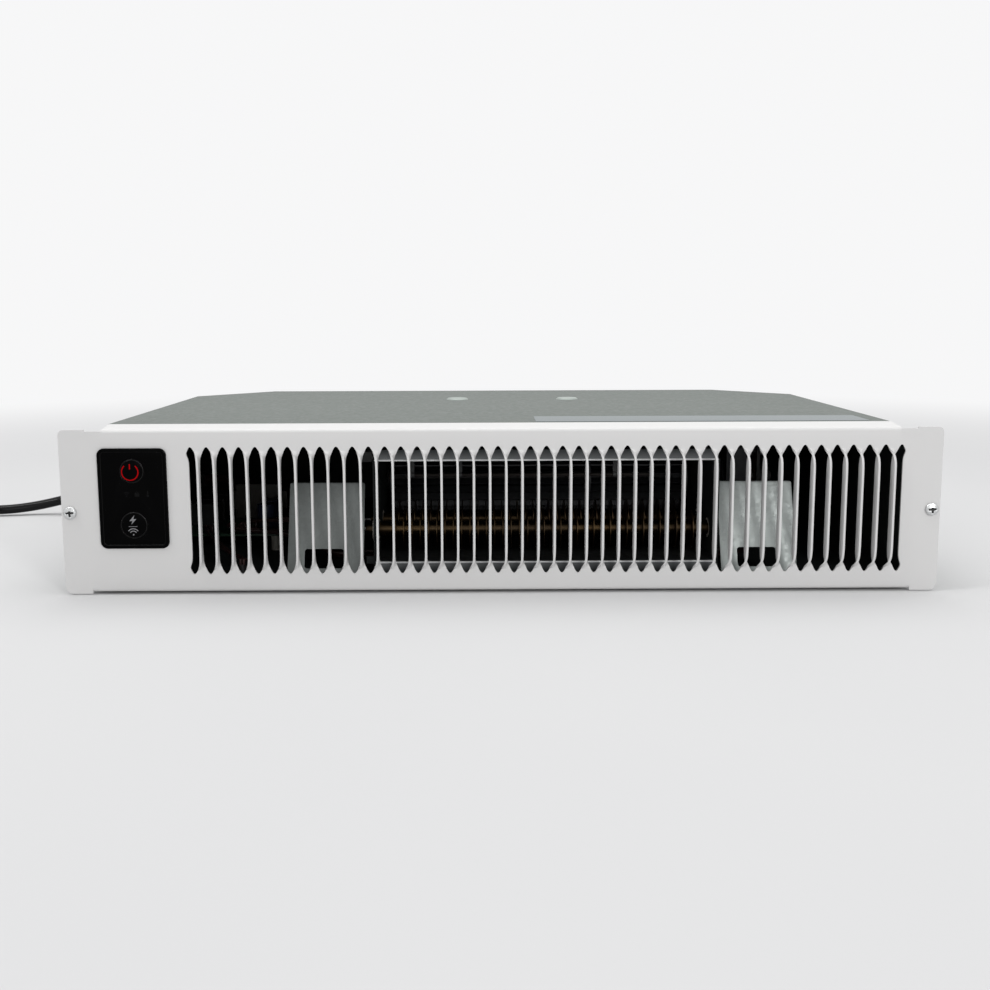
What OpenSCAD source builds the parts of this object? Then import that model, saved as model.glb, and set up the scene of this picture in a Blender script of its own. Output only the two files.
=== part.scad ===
// Plinth heater: an electric fan heater for the kickspace under a kitchen cupboard.
// Millimetres, +Z up, the grille faces -Y. The origin is on the floor, under the middle of the heater.
// Places along Y are measured back from the front face of the grille, and at_origin() moves them.

/* [Front grille] */
// Width of the grille plate, from ear to ear
grille_w = 500; // [490:2:540]
// Height of the grille plate
grille_h = 94.4; // [93:0.2:102]
// Thickness of the powder-coated sheet
grille_t = 1.2; // [1:0.1:1.5]
// Gap between the floor and the lower edge of the ears
grille_lift = 0.6; // [0.4:0.1:2]
// Width of each ear beyond the casing
ear_w = 13; // [12:0.5:16]
// Radius of the two upper corners
top_corner_r = 3; // [1:0.5:5]
// Radius of the two lower corners
bottom_corner_r = 4.5; // [1:0.5:6]
// Outer radius of the folds
fold_r = 2; // [1.6:0.1:3]
// Depth of the top flange that lies on the cover
flange_d = 33; // [20:1:40]
// How much wider the top flange is at its back than at the fold, each side
flange_flare = 5.6; // [0:0.2:7]
// Width of the relief cut between an ear and the fold
relief_w = 9.5; // [8:0.5:12]
// Depth of the relief cut
relief_d = 0.85; // [0.4:0.05:1.2]
// Depth of the bottom flange that lies under the base
bottom_flange_d = 15; // [8:1:20]
// Height of the bottom fold above the lower edge of the ears
bottom_rise = 1; // [0.8:0.1:1.5]

/* [Air slots] */
// Distance from slot to slot
slot_pitch = 9.15; // [8.6:0.05:9.15]
// From the left edge of the plate to the first slot's middle
slot_margin = 74; // [73:0.5:76]
// From the last slot's middle to the right edge of the plate, at least
slot_end_margin = 23.4; // [22.5:0.1:40]
// From the top edge of the plate to the slot tips
slot_top_margin = 10; // [9:0.5:14]
// From the lower edge of the plate to the slot tips
slot_bottom_margin = 11.2; // [9:0.2:14]
// Rounding of the slot tips
slot_tip_r = 0.9; // [0.6:0.05:1.1]
// Widest part of a slot, near its tip
slot_flare_w = 5.4; // [4.4:0.1:5.6]
// From the tip to the widest part
slot_flare_l = 4.2; // [3:0.1:5]
// Width of the first and last slot at mid-height, twice what lies on their outer side
slot_w = 1.6; // [1.2:0.1:2]
// Length of the stretch in which a bar twists
twist_l = 5; // [4:0.5:12]
// Width of a bar as cut, which is its depth once it has turned edge-on
bar_w = 5.4; // [5:0.1:7.2]
// How far the turned bars stand forward of the sheet's middle
bar_forward = 1.6; // [0:0.1:2]

/* [Casing] */
// Depth from the grille to the back of the cover
casing_d = 320; // [310:2:350]
// Size of the cut-off rear corners
corner_cut = 53; // [45:1:58]
// From the grille to where the cover reaches its full width
shoulder_back = 49; // [46:1:60]
// Thickness of the galvanised sheet
sheet_t = 1; // [0.8:0.1:1.2]
// Depth of the cover's turned-down edge
skirt_h = 12; // [11:0.5:16]
// Gap between the cover's edge and the walls
skirt_gap = 0.2; // [0.1:0.05:0.4]
// Diameter of the two round pads pressed in the cover
pad_dia = 16.7; // [12:0.5:20]
// Height of these pads
pad_rise = 1; // [0.6:0.1:1.1]
// From the grille to the middle of the pads
pad_back = 226; // [210:2:235]
// Distance between the pads
pad_spacing = 83.3; // [70:1:95]
// Middle of the pair, to the right of the middle of the heater
pad_middle = 12.9; // [0:0.5:25]
// Diameter of the rubber feet
foot_dia = 14; // [12:1:18]
// Length of the blank rating label
label_l = 203; // [150:1:205]
// Width of the blank rating label
label_w = 34; // [20:1:36]
// Diameter of the two floor fixing holes
floor_hole_dia = 5; // [4:0.5:6]
// Distance between the floor fixing holes
floor_hole_spacing = 300; // [260:5:340]
// From the back of the casing to the floor fixing holes
floor_hole_back = 30; // [20:1:36]

/* [Outlet and fan] */
// Clear width of the outlet
mouth_w = 201; // [196:1:203]
// Middle of the outlet, to the right of the middle of the heater
mouth_middle = 26.5; // [25:0.5:28]
// From the grille to the outlet
mouth_back = 20; // [19:0.5:22]
// Clear height of the outlet
mouth_h = 60; // [58:0.5:61]
// Height of the outlet's floor above the base
mouth_rise = 10.2; // [9.6:0.2:11]
// Thickness of the duct's sheet
duct_t = 0.8; // [0.7:0.1:1]
// From the grille to the fan's axis
fan_back = 122; // [121:0.5:126]
// Diameter of the cross-flow impeller
fan_dia = 48; // [46:0.5:50]
// Clear radius of the scroll behind the impeller
scroll_r = 35.5; // [34:0.5:36]
// Number of blades
blade_count = 24; // [16:1:30]
// Diameter of the shaft
shaft_dia = 6; // [5.5:0.1:6.4]

/* [Heating elements] */
// Diameter of the sheathed tube
element_dia = 8.5; // [8:0.1:9]
// Diameter of the fins
fin_dia = 24; // [22:0.5:25]
// Distance from fin to fin
fin_pitch = 5; // [4.5:0.1:6]
// Thickness of a fin
fin_t = 0.5; // [0.4:0.1:0.6]
// From the grille to the front element's axis
element_back = 48; // [46:0.5:50]
// Distance between the two elements
element_spacing = 32; // [28:0.5:33]
// Height of the elements above the outlet's floor
element_rise = 14.6; // [14:0.2:17]

/* [Side baffles] */
// Width of a baffle
baffle_w = 45; // [40:0.5:47]
// Height of a baffle
baffle_h = 54.6; // [50:0.5:58]
// How far a baffle leans back
baffle_lean = 21; // [16:0.5:24]
// Gap between the left baffle and the fan plate
baffle_gap_left = 6.5; // [5:0.5:8]
// Gap between the right baffle and the fan plate
baffle_gap_right = 2.5; // [1:0.5:4]
// Width of the window in a baffle
window_w = 23; // [15:0.5:28]
// Height of the window in a baffle
window_h = 11.6; // [8:0.5:14]

/* [Controls] */
// Width of the control panel
panel_w = 39; // [37:0.5:42]
// Height of the control panel
panel_h = 57.5; // [56:0.5:60]
// From the left edge of the plate to the panel
panel_margin = 21.6; // [21:0.2:24]
// From the top edge of the plate to the panel
panel_drop = 10.4; // [9:0.2:12]
// How far the panel stands out of the plate
panel_proud = 1.2; // [0.8:0.1:1.6]
// Depth of the panel's housing behind the plate
panel_d = 16; // [15.6:0.2:20]
// Diameter of the power button
power_dia = 13.4; // [12:0.2:14.4]
// Diameter of the mode button
mode_dia = 15; // [13:0.2:15.4]
// From the panel's top edge to the power button
power_drop = 12.9; // [12:0.1:14]
// Distance between the two buttons
button_spacing = 31; // [28:0.5:32]
// Travel of the buttons
button_travel = 0.6; // [0.4:0.1:0.8]

/* [Mains lead] */
// Diameter of the lead
cord_dia = 7.3; // [6.6:0.1:7.4]
// Length of the tapered strain relief
relief_l = 38; // [30:1:50]
// Height of the lead's exit above the floor
exit_h = 30; // [26:1:40]
// From the rear corner's start forward to the lead's exit
exit_forward = 17; // [14:1:30]

/* [Hidden] */
$fn = 48;

// General clearances and overruns
cut = 1;
touch_gap = 0.05;
small_gap = 0.3;
running_gap = 0.05;

// Levels, measured up from the floor
plate_z0 = grille_lift;
plate_z1 = grille_lift + grille_h;
base_z = plate_z0 + bottom_rise + grille_t;
base_top = base_z + sheet_t;
cover_top = plate_z1 - grille_t;
cover_under = cover_top - sheet_t;
screw_z = plate_z0 + grille_h / 2;

// Casing outline: half width, straight side and the tangent that keeps a 45 degree cut parallel
casing_hw = grille_w / 2 - ear_w;
side_d = casing_d - corner_cut;
corner_angle = 45;
cut_tan = tan(corner_angle / 2);
front_y = grille_t;
wall_inset = sheet_t + skirt_gap;
cover_front = fold_r + small_gap;
shoulder_drop = 5;

// Grille details
bar_front = grille_t / 2 - bar_forward - bar_w / 2;
bar_back = bar_front + bar_w;
first_slot = slot_margin - grille_w / 2;
slot_count = floor((grille_w - slot_margin - slot_end_margin + touch_gap) / slot_pitch) + 1;
last_slot = first_slot + (slot_count - 1) * slot_pitch;
slot_z0 = plate_z0 + slot_bottom_margin;
slot_z1 = plate_z1 - slot_top_margin;
neck_w = slot_pitch - slot_flare_w;
slot_taper = 6;
ear_in = casing_hw - ear_w / 8;
fold_hw = ear_in - relief_w;
shoulder_hw = fold_hw + flange_flare - 2 * small_gap;
bottom_hw = casing_hw - 2 * grille_t;
ear_hole_dia = 4.4;
ear_screw_dia = 4;
ear_screw_x = grille_w / 2 - ear_w * 3 / 8;
ear_head_dia = 7.5;
ear_head_h = 2.4;
recess_w = 1;
recess_l = 4.2;
recess_d = 1.2;

// Brackets that hold the grille
bracket_leg = 10;
nut_dia = 6;
nut_l = 6;

// Rubber feet and rating label
foot_inset = 22;
label_side = 12;
label_x = casing_hw - label_side - label_l;
label_gap = 16;
label_t = 0.2;

// Cover screws
cover_screw_dia = 3.4;
cover_head_dia = 6.8;
cover_head_h = 2;
cover_screw_l = 8;
cover_screw_x = 90;
cover_screw_z = cover_top - skirt_h / 2;

// The middle of the heater's depth, which is the origin in Y
middle_y = (casing_d + cover_head_h + bar_front) / 2;

// Outlet duct and fan
mouth_x0 = mouth_middle - mouth_w / 2;
mouth_x1 = mouth_middle + mouth_w / 2;
mouth_z0 = base_top + mouth_rise;
mouth_z1 = mouth_z0 + mouth_h;
fan_z = mouth_z0 + scroll_r;
roof_d = 52;
roof_flange = 6.4;
tab_w = 4.4;
tab_low = 1;
tab_h = 4.4;
tongue_gap = 4;
tongue_angle = 30;
scroll_end_angle = 25;
fan_plate_t = 1;
fan_plate_d = 145;
fan_plate_cut = 25;
fan_plate_drop = 10;
fan_plate_top = cover_under - fan_plate_drop;
fan_foot_w = 10;
fan_foot_share = 0.35;
fan_screw_shares = [0.2, 0.8];
impeller_gap = 3;
disc_t = 1.6;
hub_dia = 14;
hub_l = 8;
blade_t = 0.8;
blade_l_share = 0.27;
blade_angle = 28;
shaft_left = 12;
bush_dia = 12;
bush_l = 8;
grommet_dia = 20;
grommet_l = 6;
grommet_groove = 1.5;

// Motor, to the right of the right fan plate
motor_gap = 22;
stator_l = 16;
stator_front = 20;
stator_rear = 46;
stator_hh = 21.5;
rotor_dia = 24.4;
rotor_over = 1;
air_gap = 0.4;
stator_window = 18;
stator_window_hh = 13.5;
limb_t = 12;
coil_wall = 7;
coil_gap = 0.2;
bracket_t = 2;
bracket_w = 15;
bracket_off = 9;
bracket_bolt = 17.5;
boss_dia = 15;
boss_l = 7;
motor_bush_dia = 10;
bolt_dia = 4;
bolt_head_dia = 7;
bolt_head_h = 2.6;
spacer_dia = 8;
stator_x = mouth_x1 + fan_plate_t + motor_gap;
shaft_x0 = mouth_x0 + impeller_gap - shaft_left;
shaft_x1 = stator_x + stator_l + bracket_off + bracket_t + boss_l;

// Heating elements
element_z = mouth_z0 + element_rise;
element_places = [element_back, element_back + element_spacing];
element_over = 7;
fin_margin = 10;
bush_flange_dia = 16;
bush_flange_t = 2.5;
bush_body_dia = 12;
terminal_dia = 3;
terminal_l = 9;
terminal_tab_w = 6.3;
terminal_tab_t = 0.8;

// Baffles
baffle_t = 0.8;
baffle_front = 19;
baffle_foot = 12;
window_side = 10;
window_low = 6.6;
baffle_screw_shares = [0.2, 0.8];
baffle_screw_share = 0.7;
baffle_x = [mouth_x0 - fan_plate_t - baffle_gap_left - baffle_w, mouth_x1 + fan_plate_t + baffle_gap_right];
foot_screw_dia = 3;
foot_head_dia = 5.6;
foot_head_h = 1.8;

// Safety cut-out, fuse and sensors
cutout_dia = 16;
cutout_h = 7;
cutout_tab = 7;
fuse_dia = 4;
fuse_l = 12;
bulb_dia = 2;
bulb_l = 144;
bulb_left = 18;
bulb_back = 8;
bulb_drop = 9.5;
bulb_x0 = mouth_x0 + bulb_left;
bulb_y = mouth_back + bulb_back;
bulb_z = mouth_z1 - bulb_drop;
clip_shares = [0.024, 0.22, 0.86];
clip_w = 3;
clip_t = 0.8;
sensor_dia = 4;
sensor_l = 9;
sensor_share = 0.58;

// Control panel
panel_x0 = panel_margin - grille_w / 2;
panel_x1 = panel_x0 + panel_w;
panel_mid = panel_x0 + panel_w / 2;
sensor_place = [panel_x1 + (baffle_x[0] - panel_x1) * sensor_share, mouth_back, base_top];
panel_z1 = plate_z1 - panel_drop;
panel_z0 = panel_z1 - panel_h;
panel_r = 4;
panel_edge = 1.5;
panel_wall = 1.6;
panel_face_t = 2.2;
panel_rim = 2.2;
panel_recess = 0.3;
power_z = panel_z1 - power_drop;
mode_z = power_z - button_spacing;
button_gap = 0.15;
button_dome = 0.5;
collar_w = 1.2;
collar_t = 1.2;
plunger_dia = 3.4;
switch_w = 6;
switch_d = 3.4;
switch_lip = button_travel + 2 * touch_gap;
board_t = 1.6;
panel_board_inset = 1.8;
panel_board_back = panel_d - panel_board_inset;
post_dia = 3;
collar_front = panel_face_t - panel_proud + touch_gap;
switch_front = panel_board_back - board_t - switch_d;
button_back = switch_front - switch_lip;

// Power board and terminal block, beside the left wall and in front of the lead's exit
exit_y = side_d - exit_forward;
block_d = 20;
block_gap = 12;
block_exit_gap = 23;
block_y0 = exit_y - block_exit_gap - block_d;
board_w = 80;
board_l = 95;
board_rise = 10;
board_clear = 20;
board_side = 14;
board_back = block_y0 - block_gap - board_l;
board_corner = 5;
standoff_dia = 6;
relay_side_share = 0.155;
relay_share = 0.2375;
relay_w = board_w * relay_share;
relay_d = 15.5;
relay_h = 15;
relay_count = 3;
relay_side = board_w * relay_side_share;
relay_front = 30;
relay_step = 20;
transformer_share = 0.4;
transformer_w = board_w * transformer_share;
transformer_d = 27;
transformer_h = 24;
capacitor_dia = 12;
capacitor_h = 18;
capacitor_shares = [1, 2.4];
board_x0 = -casing_hw + board_side;
board_z = base_top + board_rise;
board_top = board_z + board_t;

// Wires inside, and the hole that lets two of them pass under the duct
wire_dia = 2.4;
thin_wire = 1.5;
loom_gap = 0.3;
wire_steps = 3;
wire_sides = 8;
wire_hole_dia = 7;
wire_hole_shares = [0.7, 0.65];
sensor_end_share = 0.4;
motor_end_share = 0.6;
wire_hole_y = element_back + element_spacing * wire_hole_shares[0];
wire_hole_z = base_top + wire_hole_dia * wire_hole_shares[1];

// Terminal block and earth screw
block_w = 34;
block_h = 16;
block_pole = 10;
block_side = 2;
block_x0 = board_x0 + block_side;
block_poles = [for (k = [0:2]) block_x0 + block_w / 2 + (k - 1) * block_pole];
block_screw_dia = 4;
earth_dia = 4;
earth_nut = 7;
earth_h = 12;
earth_tag_t = 0.8;
earth_tag_share = 1.3;
earth_wire_shares = [0.7, 0.6];
earth_x = board_x0 + board_w - board_corner;
earth_y = block_y0 + block_d / 2;

// Strain relief
exit_x = -casing_hw + wall_inset;
relief_flange_dia = 18;
relief_flange_t = 3;
relief_big = 14;
relief_wall = 0.7;
relief_tip = cord_dia + 2 * relief_wall;
relief_hole_dia = 12;
relief_nut_t = 5;
tail_l = 12;
relief_end = exit_x - relief_flange_t - relief_l;
relief_ribs = 7;
relief_rib_rise = 0.5;
core_off = 1.6;

// The lead's route outside: round numbers, Y measured back from the grille, ending where the coil starts
coil_start = [-437, 253, 4.6];
cord_route = [[-276.8, 250, 30], [-287.1, 250, 30], [-297.2, 251.1, 27.9], [-306.9, 252.7, 24.6],
    [-316.3, 254.8, 21], [-325.8, 257.1, 17.6], [-335.4, 259.2, 14.5], [-345.3, 260.6, 11.8],
    [-355.3, 261.1, 9.4], [-365.4, 260.4, 7.4], [-375.5, 258.6, 6], [-385.6, 256.5, 5.2],
    [-395.8, 254.8, 4.9], [-406, 253.6, 4.7], [-416.4, 253.1, 4.6], [-426.7, 253, 4.6], coil_start];

// The coil: two layers of a flat spiral, in and out again, climbing where the spiral reverses
coil_r = 54;
coil_pitch = 7.8;
coil_layer = 7.8;
coil_turns = 6.25;
coil_lead = 8;
coil_steps = 24;
coil_sides = 6;
coil_climb_share = 0.5;
coil_count = coil_turns * coil_steps;
cord_sides = 8;
coil_middle = [coil_start[0] - coil_lead, coil_start[1] - coil_r];
coil_z = coil_start[2];
coil_inner_r = coil_r - coil_pitch * coil_turns / 2;
coil_out = 46;
tie_t = 0.8;
tie_w = 6;
tie_gap = 0.1;
tie_angle = -40;

// Plug with three flat pins, lying on its back at the end of the coil
plug_w = 50;
plug_l = 48;
plug_h = 23;
plug_r = 7;
plug_rib = 3;
plug_boot_l = 14;
plug_boot_dia = 13;
plug_x = coil_middle[0] - coil_r;
plug_y = coil_middle[1] - coil_out;
plug_cord_z = coil_z + coil_layer;
pin_spacing = 22.2;
pin_t = 4;
pin_w = 6.4;
pin_l = 17.7;
earth_pin_w = 8;
earth_pin_l = 22.7;
earth_pin_back = 9;
live_pin_back = 31.2;

module at_origin() {
    translate([0, -middle_y, 0]) children();
}

// A cylinder whose axis runs along X from x0 to x1
module bar_x(x0, x1, y, z, dia) {
    translate([x0, y, z]) rotate([0, 90, 0]) cylinder(d = dia, h = x1 - x0);
}

// A cylinder whose axis runs along Y from y0 to y1
module bar_y(y0, y1, x, z, dia) {
    translate([x, y1, z]) rotate([90, 0, 0]) cylinder(d = dia, h = y1 - y0);
}

// A box given by its lowest and highest corners
module box(low, high) {
    translate(low) cube(high - low);
}

// A plate drawn in X and Z, from y0 to y1
module upright(y0, y1) {
    translate([0, y1, 0]) rotate([90, 0, 0]) linear_extrude(y1 - y0) children();
}

// A profile drawn in Y and Z, from x0 to x1
module along_x(x0, x1) {
    translate([x0, 0, 0]) rotate([90, 0, 90]) linear_extrude(x1 - x0) children();
}

module rounded(x0, x1, z0, z1, r) {
    translate([x0, z0 + r]) square([x1 - x0, z1 - z0 - 2 * r]);
    translate([x0 + r, z0]) square([x1 - x0 - 2 * r, z1 - z0]);
    for (x = [x0 + r, x1 - r], z = [z0 + r, z1 - r]) translate([x, z]) circle(r = r);
}

module ring_part(r_in, r_out, y, z, from, to) {
    reach = 2 * r_out;
    middle = (from + to) / 2;
    intersection() {
        translate([y, z]) difference() {
            circle(r = r_out);
            circle(r = r_in);
        }
        polygon([[y, z], [y + reach * cos(from), z + reach * sin(from)],
            [y + reach * cos(middle), z + reach * sin(middle)], [y + reach * cos(to), z + reach * sin(to)]]);
    }
}

// Points of a closed casing outline, set in from the cover's by inset
function casing_plan(inset, y0) = let (k = inset * cut_tan) [
    [-casing_hw + inset, y0], [-casing_hw + inset, side_d - k],
    [-casing_hw + corner_cut + k, casing_d - inset], [casing_hw - corner_cut - k, casing_d - inset],
    [casing_hw - inset, side_d - k], [casing_hw - inset, y0]];

// The cover's outline: under the grille's flange at the front, then out to its full width
cover_plan = concat([[-fold_hw, cover_front], [-shoulder_hw, flange_d]], casing_plan(0, shoulder_back),
    [[shoulder_hw, flange_d], [fold_hw, cover_front]]);

// A tube along a list of points: rings of sides points square to the route, closed at both ends
function unit(v) = v / norm(v);
function heading(p, i) = unit(p[min(i + 1, len(p) - 1)] - p[max(i - 1, 0)]);
function first_side(h) = unit(cross(abs(h[2]) < norm([h[0], h[1]]) ? [0, 0, 1] : [1, 0, 0], h));
function sides_along(p, i, side) = i >= len(p) ? [] :
    let (h = heading(p, i), next = unit(side - (side * h) * h)) concat([next], sides_along(p, i + 1, next));
function ring_at(p, i, side, r, sides) = let (up = cross(heading(p, i), side))
    [for (k = [0:sides - 1]) p[i] + r * (side * cos(360 * k / sides) + up * sin(360 * k / sides))];
module sweep(p, dia, sides) {
    n = len(p);
    across = sides_along(p, 0, first_side(heading(p, 0)));
    rings = [for (i = [0:n - 1]) each ring_at(p, i, across[i], dia / 2, sides)];
    walls = [for (i = [0:n - 2], k = [0:sides - 1]) let (a = i * sides, b = a + sides, m = (k + 1) % sides)
        each [[a + k, b + k, b + m], [a + k, b + m, a + m]]];
    first = [for (k = [1:sides - 2]) [0, k, k + 1]];
    last = [for (k = [1:sides - 2]) let (e = (n - 1) * sides) [e, e + k + 1, e + k]];
    polyhedron(rings, concat(walls, first, last));
}

// A smooth curve through a few points, with some steps between each two and a straight run at each end
function bend(a, b, c, d, t) = 0.5 * (2 * b + (c - a) * t + (2 * a - 5 * b + 4 * c - d) * t * t
    + (3 * b - a - 3 * c + d) * t * t * t);
function smooth(p, steps) = let (n = len(p)) [p[0], for (i = [1:n - 3], k = [0:steps - 1])
    bend(p[i - 1], p[i], p[i + 1], p[i + 2], k / steps), p[n - 2], p[n - 1]];
module wire(p, dia) {
    sweep(smooth(p, wire_steps), dia, wire_sides);
}

// Casing

module casing_tray() at_origin() color("#8b9089") {
    difference() {
        union() {
            translate([0, 0, base_z]) linear_extrude(sheet_t) polygon(casing_plan(wall_inset, cover_front));
            translate([0, 0, base_top]) linear_extrude(cover_under - base_top) difference() {
                polygon(casing_plan(wall_inset, front_y));
                polygon(casing_plan(wall_inset + sheet_t, -cut));
            }
        }
        bar_x(exit_x - cut, exit_x + sheet_t + cut, exit_y, exit_h, relief_hole_dia);
        for (x = [-1, 1]) translate([x * floor_hole_spacing / 2, casing_d - floor_hole_back, base_z - cut])
            cylinder(d = floor_hole_dia, h = sheet_t + 2 * cut);
        cover_screw_places() cylinder(d = cover_screw_dia, h = cover_screw_l);
        for (x = [-1, 1]) box_pair(x, casing_hw - ear_w, casing_hw + cut, -cut, shoulder_back - sheet_t,
            cover_under - shoulder_drop, cover_under + cut);
    }
}

// Where the cover is screwed on: two places in the back and one in each cut corner
module cover_screw_places() {
    corner_x = casing_hw - corner_cut / 2;
    corner_y = casing_d - corner_cut / 2;
    for (x = [-1, 1]) {
        translate([x * cover_screw_x, casing_d + cut, cover_screw_z]) rotate([90, 0, 0]) children();
        translate([x * (corner_x + cut / sqrt(2)), corner_y + cut / sqrt(2), cover_screw_z])
            rotate([90, 0, -x * corner_angle]) children();
    }
}

module top_cover() at_origin() color("#8a9088") {
    difference() {
        union() {
            translate([0, 0, cover_under]) linear_extrude(sheet_t) polygon(cover_plan);
            translate([0, 0, cover_top - skirt_h]) linear_extrude(skirt_h - sheet_t) difference() {
                polygon(casing_plan(0, shoulder_back));
                polygon(casing_plan(sheet_t, -cut));
            }
            for (x = [-1, 1]) translate([pad_middle + x * pad_spacing / 2, pad_back, cover_top])
                rotate_extrude() pad_profile();
        }
        cover_screw_places() cylinder(d = cover_screw_dia, h = cover_screw_l);
    }
}

// Half section of a pad: a flat top with a round shoulder
module pad_profile() {
    square([pad_dia / 2 - pad_rise, pad_rise]);
    intersection() {
        translate([pad_dia / 2 - pad_rise, 0]) circle(r = pad_rise);
        square([pad_dia / 2, pad_rise]);
    }
}

module cover_screws() at_origin() color("silver") cover_screw_places() {
    translate([0, 0, cut - cover_head_h]) difference() {
        cylinder(d = cover_head_dia, h = cover_head_h);
        for (a = [0, 90]) rotate(a)
            translate([-cover_head_dia / 4, -cover_head_h / 4, -cover_head_h / 2])
            cube([cover_head_dia / 2, cover_head_h / 2, cover_head_h]);
    }
    translate([0, 0, cut]) cylinder(d = cover_screw_dia - 2 * touch_gap, h = cover_screw_l - cut);
}

module grille_brackets() at_origin() color("#8b9089") {
    wall = casing_hw - wall_inset;
    top = cover_under - shoulder_drop;
    for (x = [-1, 1]) difference() {
        union() {
            box_pair(x, wall, wall + sheet_t, front_y + sheet_t, front_y + bracket_leg, base_top, top);
            box_pair(x, wall, grille_w / 2 - 1.5 * sheet_t, front_y, front_y + sheet_t,
                base_top, top);
            bar_y(front_y, front_y + nut_l, x * ear_screw_x, screw_z, nut_dia);
        }
        bar_y(front_y - cut, front_y + nut_l + cut, x * ear_screw_x, screw_z, ear_screw_dia + 2 * touch_gap);
    }
}

// A box on the right (side 1) or mirrored to the left (side -1)
module box_pair(side, x0, x1, y0, y1, z0, z1) {
    box([side > 0 ? x0 : -x1, y0, z0], [side > 0 ? x1 : -x0, y1, z1]);
}

// Front grille: ears, slots, twisted bars and the two folds

module slot_end(x, z, dir) {
    translate([x, z]) scale([1, dir]) {
        translate([0, -slot_tip_r]) circle(r = slot_tip_r);
        polygon([[-slot_tip_r, -slot_tip_r], [slot_tip_r, -slot_tip_r],
            [slot_flare_w / 2, -slot_flare_l], [-slot_flare_w / 2, -slot_flare_l]]);
    }
}

module slot_window() {
    low = slot_z0 + slot_flare_l;
    high = slot_z1 - slot_flare_l;
    polygon([[first_slot - slot_flare_w / 2, low], [first_slot - slot_w / 2, low + slot_taper],
        [first_slot - slot_w / 2, high - slot_taper], [first_slot - slot_flare_w / 2, high],
        [last_slot + slot_flare_w / 2, high], [last_slot + slot_w / 2, high - slot_taper],
        [last_slot + slot_w / 2, low + slot_taper], [last_slot + slot_flare_w / 2, low]]);
    for (i = [0:slot_count - 1]) {
        slot_end(first_slot + i * slot_pitch, slot_z1, 1);
        slot_end(first_slot + i * slot_pitch, slot_z0, -1);
    }
}

module plate_outline() {
    half = grille_w / 2;
    difference() {
        union() {
            rounded(-half, half, plate_z0, screw_z + 2 * bottom_corner_r, bottom_corner_r);
            rounded(-half, half, screw_z - 2 * top_corner_r, plate_z1, top_corner_r);
        }
        translate([-fold_hw, plate_z1 - fold_r]) square([2 * fold_hw, fold_r + cut]);
        for (x = [-ear_in, fold_hw]) translate([x, plate_z1 - relief_d]) square([relief_w, relief_d + cut]);
        translate([-bottom_hw, plate_z0 - cut]) square([2 * bottom_hw, cut + bottom_rise + fold_r]);
        slot_window();
        rounded(panel_x0 + panel_edge - touch_gap, panel_x1 - panel_edge + touch_gap,
            panel_z0 + panel_edge - touch_gap, panel_z1 - panel_edge + touch_gap, panel_r - panel_edge);
        for (x = [-1, 1]) translate([x * ear_screw_x, screw_z]) circle(d = ear_hole_dia);
    }
}

// The top fold and its flange, with ends that flare out towards the back
module top_fold() {
    back_hw = fold_hw + flange_flare;
    intersection() {
        along_x(-back_hw, back_hw) {
            translate([fold_r, plate_z1 - grille_t]) square([flange_d - fold_r, grille_t]);
            ring_part(fold_r - grille_t, fold_r, fold_r, plate_z1 - fold_r, 90, 180);
        }
        translate([0, 0, plate_z0]) linear_extrude(grille_h + cut)
            polygon([[-fold_hw, 0], [-back_hw, flange_d], [back_hw, flange_d], [fold_hw, 0]]);
    }
}

module bottom_fold() {
    z = plate_z0 + bottom_rise;
    along_x(-bottom_hw, bottom_hw) {
        translate([fold_r, z]) square([bottom_flange_d - fold_r, grille_t]);
        ring_part(fold_r - grille_t, fold_r, fold_r, z + fold_r, 180, 270);
    }
}

// A bar's twisting end: as wide as the neck at the plate, and edge-on at the other end
module bar_neck(z, dir) {
    reach = dir * twist_l;
    intersection() {
        upright(bar_front - cut, bar_back + cut) polygon([[-neck_w / 2, z], [neck_w / 2, z],
            [grille_t / 2, z + reach], [-grille_t / 2, z + reach]]);
        along_x(-neck_w, neck_w) polygon([[0, z], [grille_t, z],
            [bar_back, z + reach], [bar_front, z + reach]]);
    }
}

module bar(x) {
    low = slot_z0 + slot_flare_l;
    high = slot_z1 - slot_flare_l;
    translate([x, 0, 0]) {
        bar_neck(low, 1);
        bar_neck(high, -1);
        box([-grille_t / 2, bar_front, low + twist_l], [grille_t / 2, bar_back, high - twist_l]);
    }
}

module front_grille() at_origin() color("#e9e9e9") {
    upright(0, grille_t) plate_outline();
    top_fold();
    bottom_fold();
    for (i = [1:slot_count - 1]) bar(first_slot + (i - 0.5) * slot_pitch);
}

module grille_screws() at_origin() color("silver") for (x = [-1, 1]) translate([x * ear_screw_x, 0, screw_z])
    rotate([90, 0, 0]) difference() {
        union() {
            rotate_extrude() intersection() {
                translate([0, ear_head_h - ear_head_dia]) circle(r = ear_head_dia);
                square([ear_head_dia / 2, ear_head_h]);
            }
            translate([0, 0, -nut_l]) cylinder(d = ear_screw_dia, h = nut_l);
        }
        for (a = [0, 90]) rotate(a) translate([-recess_l / 2, -recess_w / 2, ear_head_h - recess_d])
            cube([recess_l, recess_w, ear_head_h]);
    }

module rubber_feet() at_origin() color("#202020") for (x = [-1, 1], y = [foot_inset, side_d - foot_inset])
    translate([x * (casing_hw - foot_inset - foot_dia), y + foot_dia / 2, 0])
    cylinder(d = foot_dia, h = base_z);

module rating_label() at_origin() color("#b9c6cc")
    translate([label_x, flange_d + label_gap, cover_top]) cube([label_l, label_w, label_t]);

// Outlet duct

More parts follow.
